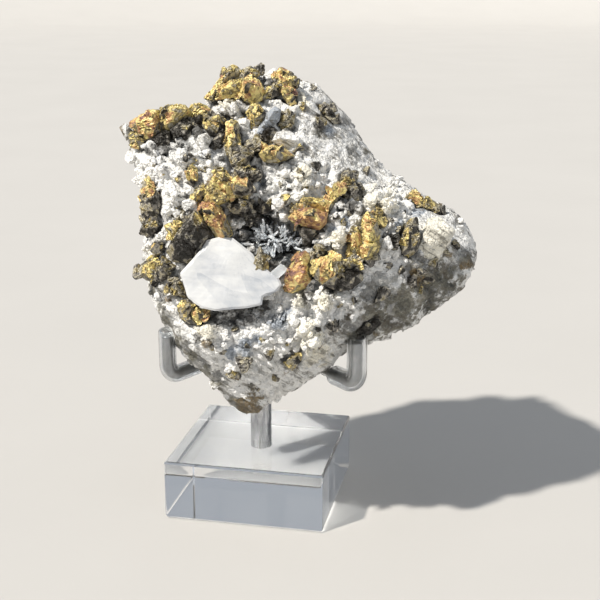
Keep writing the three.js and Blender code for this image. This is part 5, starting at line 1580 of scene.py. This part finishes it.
def plate(outline, set_back, thick, seed):
    """Rings of points at a growing share of the outline's reach, on the front and on the back."""
    outline = np.array(outline, float)
    middle = outline.mean(axis=0)
    angles = np.arange(PLATE_ANGLES) / PLATE_ANGLES * 2 * math.pi
    reach = edge_reach(outline, middle, angles)
    share = 1 - (1 - np.linspace(0.02, 1, PLATE_RINGS)) ** 1.4
    uv = middle + (share[:, None] * reach)[..., None] * np.stack([np.cos(angles), np.sin(angles)], axis=1)
    inset = (1 - share)[:, None] * reach * 0.3
    round_off = PLATE_BEVEL * (1 - ease(inset, 0, PLATE_BEVEL * 2))
    depth = BLADE_FOOT_DEPTH + BLADE_LEAN * (BLADE_FOOT - uv[..., 1]) + set_back
    flat = np.concatenate([uv, np.zeros(uv.shape[:2] + (1,))], axis=-1).reshape(-1, 3)
    waves = 0.3 * smooth_noise(flat * [1, 0.5, 1], 26, seed) + 0.1 * smooth_noise(flat, 12, seed + 1)
    waves = waves.reshape(depth.shape)
    from_apex = uv - FAN_APEX
    turn = np.arctan2(from_apex[..., 0], from_apex[..., 1]) * FAN_LINES / math.pi
    turn = turn + 0.8 * smooth_noise(flat, 16, seed + 2).reshape(depth.shape)
    clear_of_apex = ease(np.hypot(*np.moveaxis(from_apex, -1, 0)), 4, 16)
    waves = waves + FAN_HEIGHT * (turn % 1.0) * clear_of_apex
    line = (1 - ease(turn % 1.0, 0.0, 0.14)) * clear_of_apex * (0.5 + 0.5 * np.sin(np.floor(turn) * 12.9))
    front = place(uv[..., 0], uv[..., 1], depth + round_off + waves)
    back = place(uv[..., 0], uv[..., 1], depth + thick - round_off)
    middles = [place(*middle, depth[0].mean() + waves[0].mean()), place(*middle, depth[0].mean() + thick)]
    points, tables, _ = closed(np.concatenate([front, back[::-1]]), *middles, flipped=True)
    return points, tables, {"line": np.concatenate([line.ravel(), np.zeros(line.size + 2)])}


def blade_recipe(tree, shader):
    """White with faint clouds, cleavage flakes and dull growth lines."""
    lines = noise(tree, 420, 3.0, 0.5, place_on(tree, (0.15, 1, 1), (0, 0.7, 0)))
    flakes, flake_tone = cells(tree, 230, place_on(tree, (2.6, 1, 1), (0, 0.5, 0), "TEXTURE"), "EUCLIDEAN")
    cloud = noise(tree, 120, 5.0, 0.6) * 0.6 + flake_tone * 0.22
    shine = cloud * 0.8 + lines * 0.3
    skin = ramp(shine, (0.36, 168, 173, 180), (0.47, 192, 194, 197), (0.58, 206, 207, 207))
    skin = blend(point_value(tree, "line") * 0.6, skin, colour(164, 170, 176))
    set_inputs(shader, Base_Color=skin, Roughness=spread(cloud, 0.25, 0.6, 0.22, 0.4),
               Normal=bump(lines + flakes * 1.5, 0.5, 0.0005))


pearly = finish("pearly calcite", blade_recipe)
plates = [plate(outline, *sizes[0], 60 + k) for k, (outline, sizes) in enumerate(BLADE_LAYERS)]
piece("calcite_blade_plates", plates, pearly, ["calcite_blade"])

# %% [markdown]
# ## Quartz needles
# The pocket is lined with six-sided needles: two bunches that fan out from a root each, six loose
# sprays, and many single ones on the wall. Light passes through and bends, and some white is mixed
# in, because such small crystals look milky.

# %% The needles
# Root | tips, as places, and for the tips their depth
NEEDLE_BUNCHES = number_rows("""
  273,238 | 257,227,-33 263,222,-31 270,221,-34 279,219,-33 267,244,-36 263,235,-35 269,256,-32 ;
  291,241 | 286,222,-33 297,229,-35 302,237,-35 309,242,-33 299,251,-33 286,254,-32 292,246,-36""")
NEEDLE_ROOT_DEPTH = -21
FAN_COUNT = 12
WALL_COUNT = 130
POCKET = (277, 240, 30, 22)      # place of the middle, and half its width and height
POCKET_FRONT = -36
STOUT_AXES = np.array([[0, 1, 0], [0.6, 0, 0.8], [0.8, 0, -0.6]])
# Feet of the loose sprays: u, v, depth, and where each points: right, front, up
SPRAYS = numbers("""
  266,233,-32,-0.5,0.6,0.6 274,240,-33,0.1,1,0.1 283,236,-31,0.2,0.7,0.7 292,245,-32,0.6,0.7,0.3
  270,249,-31,-0.2,0.8,-0.5 262,242,-31,-0.8,0.6,0.1
""")

clear_quartz = finish("clear quartz", two_tones(
    300, (238, 243, 248), (252, 253, 254), 0.05, clear=True, grain=0.55, IOR=1.54, Transmission_Weight=0.6))
rng = np.random.default_rng(31)
feet, tips = [], []
for roots, ends in NEEDLE_BUNCHES:
    own = place(*np.array(ends).T)
    root = place(*roots[0], NEEDLE_ROOT_DEPTH)
    feet.append(np.broadcast_to(root, own.shape))
    tips.append(root + (own - root) * 0.8)
for spray in SPRAYS:
    towards = np.array([[spray[3], -spray[4], spray[5]]])
    start = place(*spray[:3]) + rng.normal(0, 0.9, (FAN_COUNT, 3))
    fan = leaning(rng, np.repeat(towards, FAN_COUNT, axis=0), 0.5)
    feet.append(start)
    tips.append(start + fan * rng.uniform(2.0, 4.6, (FAN_COUNT, 1)))
feet = np.concatenate(feet)
tips = np.concatenate(tips)
u, v = rock_seen
in_pocket = np.hypot((u - POCKET[0]) / POCKET[2], (v - POCKET[1]) / POCKET[3]) < 1
in_pocket &= rock_points[:, 1] > POCKET_FRONT
rows = scattered(rng, WALL_COUNT, in_pocket.astype(float))
wall_way = leaning(rng, rock_normals[rows], 0.5)
wall_length = rng.uniform(1.5, 4.0, WALL_COUNT)
feet = np.concatenate([feet, rock_points[rows] - wall_way * 0.4])
tips = np.concatenate([tips, rock_points[rows] + wall_way * wall_length[:, None]])
span = tips - feet
length = np.linalg.norm(span, axis=1)
half = np.clip(length * 0.1, 0.2, 0.42) * rng.uniform(0.7, 1.1, len(length))
needle_points, needle_tables = prisms(
    feet, span / length[:, None], half, length, rng.uniform(0, math.pi, len(length)), 0.86)
# One stout clear crystal stands behind the blade's right end
stout = place(278, 272, -41.5) + 1.9 * cleaved_block() @ STOUT_AXES
stout_points, stout_tables, _ = crystal(stout, 77, hackle=0.1, stripes=0.0, deepest=0.8)
piece("quartz_needles_fan", [(needle_points, needle_tables, {}), (stout_points, stout_tables, {})],
      clear_quartz, ["quartz_needles"], smooth=False)

# %% [markdown]
# ## The stand
# A turned steel post stands in the clear block. Three rods leave it level, bend up and carry clear
# sleeves that the rock rests on. Rod and sleeve are a round section carried along one path.

# %% Rods and sleeves
ROD_HEIGHT = 52.2
BEND_RADIUS = 4.0
ROD_RADIUS = 1.55
POST_RADIUS = 3.45
SLEEVE_PROUD = 1.4
SLEEVE_GAP = 0.3
# Where each turns up on the plan, the height of its tip, the sleeve's radius, and the share of the
# way out at which the sleeve starts
RODS = {
  "left": [-26.0, -32.3, 64.6, 2.55, 0.66],
  "right": [29.1, -39.1, 64.6, 2.95, 0.78],
  "back": [3.0, 22.0, 60.6, 2.55, 0.55],
}
TUBE_SIDES = 28


def rod_path(corner, start, tip):
    """Out along the floor plan at one height, a quarter circle up, then straight up."""
    corner = np.array(corner, float)
    reach = np.linalg.norm(corner)
    out = corner / reach
    turn = np.linspace(0, math.pi / 2, 20)
    run = np.linspace(start, reach - BEND_RADIUS, 16)[:-1]
    rise = np.linspace(ROD_HEIGHT + BEND_RADIUS, tip, 10)[1:]
    away = np.concatenate([run, reach - BEND_RADIUS + BEND_RADIUS * np.sin(turn), np.full(len(rise), reach)])
    height = np.concatenate([np.full(len(run), ROD_HEIGHT),
                             ROD_HEIGHT + BEND_RADIUS * (1 - np.cos(turn)), rise])
    return np.concatenate([away[:, None] * out, height[:, None]], axis=1)


def rings_along(path, radii):
    """A circle about each path point, square to the path: one axis is level and at right angles
    to the rod's plane, the other is its cross product with the path's direction."""
    along = np.gradient(path, axis=0)
    along /= np.linalg.norm(along, axis=1)[:, None]
    level = np.array([-path[-1, 1], path[-1, 0], 0.0])
    level /= np.linalg.norm(level)
    over = np.cross(along, level)
    angle = np.arange(TUBE_SIDES) / TUBE_SIDES * 2 * math.pi
    radii = np.broadcast_to(radii, len(path))
    return path[:, None] + radii[:, None, None] * (
        np.cos(angle)[:, None] * level + np.sin(angle)[:, None] * over[:, None])


def solid_rod(path, radius):
    """Rings along the path, with both ends rounded over by three shrinking rings and a middle."""
    along = np.gradient(path, axis=0)
    along /= np.linalg.norm(along, axis=1)[:, None]
    turn = np.linspace(0, math.pi / 2, 5)[1:-1]
    cap_out = radius * 0.35 * np.sin(turn)
    cap_radius = radius * (0.65 + 0.35 * np.cos(turn))
    start = path[0] - along[0] * cap_out[::-1, None]
    end = path[-1] + along[-1] * cap_out[:, None]
    whole = np.concatenate([start, path, end])
    radii = np.concatenate([cap_radius[::-1], np.full(len(path), radius), cap_radius])
    return closed(rings_along(whole, radii), whole[0], whole[-1])


def sleeve_tube(path, outer, inner):
    """Rings run down the inside from a small dome over the rod's end, round the open lip and back
    up the outside to a larger dome, which closes the sleeve like a cap."""
    along = path[-1] - path[-2]
    along = along / np.linalg.norm(along)
    turn = np.linspace(0, math.pi / 2, 6)[1:-1]
    lip = np.concatenate([[0.9, 0.97], np.ones(len(path) - 2)])
    outer_path = np.concatenate([path, path[-1] + along * (0.5 * outer * np.sin(turn))[:, None]])
    outer_radii = np.concatenate([outer * lip, outer * np.cos(turn) ** 0.6])
    inner_path = np.concatenate([path, path[-1] + along * (0.2 * inner * np.sin(turn))[:, None]])
    inner_radii = np.concatenate([np.full(len(path), inner), inner * np.cos(turn) ** 0.6])
    whole = np.concatenate([inner_path[::-1], outer_path])
    rings = np.concatenate([rings_along(inner_path, inner_radii)[::-1], rings_along(outer_path, outer_radii)])
    return closed(rings, whole[0], whole[-1])


dark_steel = finish("bent steel rod", two_tones(
    900, (172, 171, 170), (208, 207, 206), (0.34, 0.5), (1, 1, 0.2), Metallic=1.0))
vinyl = finish("clear vinyl sleeve", two_tones(
    500, (222, 226, 230), (242, 243, 244), (0.1, 0.22), clear=True, IOR=1.45, Transmission_Weight=1.0))
for name, (*corner, tip, sleeve, start) in RODS.items():
    path = rod_path(corner, POST_RADIUS + SLEEVE_GAP, tip)
    piece(name + "_round_rod", [solid_rod(path, ROD_RADIUS)], dark_steel, [name + "_rod"])
    path = rod_path(corner, np.linalg.norm(corner) * start, tip + SLEEVE_PROUD)
    piece(name + "_round_sleeve", [sleeve_tube(path, sleeve, ROD_RADIUS + SLEEVE_GAP)], vinyl,
          [name + "_sleeve"])

# %% [markdown]
# ### Post and block
# The post is a satin turned bar: a profile spun round. The block is cast acrylic with polished
# faces and finely rounded edges that catch the light.

# %% The post
POST_TOP = 54.6
POST_FOOT = 11.35
POST_EDGE = 0.5
POST_SIDES = 72


def post_shape():
    """Radius against height: a flat end, a rounded edge, the straight bar, and the same above."""
    turn = np.linspace(0, math.pi / 2, 6)
    low_r = POST_RADIUS - POST_EDGE + POST_EDGE * np.sin(turn)
    low_z = POST_FOOT + POST_EDGE * (1 - np.cos(turn))
    radius = np.concatenate([low_r, low_r[::-1]])
    height = np.concatenate([low_z, POST_TOP + POST_FOOT - low_z[::-1]])
    return closed(spun(radius, height, POST_SIDES), [0, 0, POST_FOOT], [0, 0, POST_TOP])


satin_steel = finish("satin turned steel", two_tones(
    900, (178, 178, 180), (208, 208, 208), (0.2, 0.3), (1, 1, 0.05), Metallic=1.0))
piece("turned_post", [post_shape()], satin_steel, ["post"], turned=False)

# %% The clear block
BLOCK_HALF = np.array([25.4, 25.4, 9.525])
BLOCK_EDGE = 0.8


def rounded_box():
    """A box of grids whose lines crowd at the edges. A point p is drawn onto the rounded shape from
    its nearest point c of the box without edges: c + edge · (p - c) / |p - c|."""
    arc = BLOCK_EDGE * (1 - np.tan(np.linspace(math.pi / 4, 0, 5)))
    line = np.concatenate([arc, [BLOCK_EDGE * 1.1]])
    size = 2 * len(line)
    spots, tables = [], []
    for axis in range(3):
        across = (axis + 1) % 3, (axis + 2) % 3
        sides = [np.concatenate([line - BLOCK_HALF[k], BLOCK_HALF[k] - line[::-1]]) for k in across]
        a, b = np.meshgrid(*sides, indexing="ij")
        for sign in (-1, 1):
            grid = np.empty((size, size, 3))
            grid[..., axis] = sign * BLOCK_HALF[axis]
            grid[..., across[0]], grid[..., across[1]] = a, b
            tables.append(grid_squares(size, size)[:, ::sign] + len(spots) * size ** 2)
            spots.append(grid.reshape(-1, 3))
    spots, quads = merged(np.concatenate(spots), np.concatenate(tables), 1e4)
    inner = np.clip(spots, BLOCK_EDGE - BLOCK_HALF, BLOCK_HALF - BLOCK_EDGE)
    away = spots - inner
    rounded = inner + BLOCK_EDGE * away / np.linalg.norm(away, axis=1)[:, None]
    return rounded + [0, 0, BLOCK_HALF[2]], [quads], {}


acrylic = finish("polished acrylic", two_tones(
    40, (238, 240, 244), (250, 251, 252), (0.02, 0.06), clear=True, detail=4.0, start=0.35, IOR=1.49,
    Transmission_Weight=1.0))
piece("polished_block", [rounded_box()], acrylic, ["acrylic_block"], turned=False)
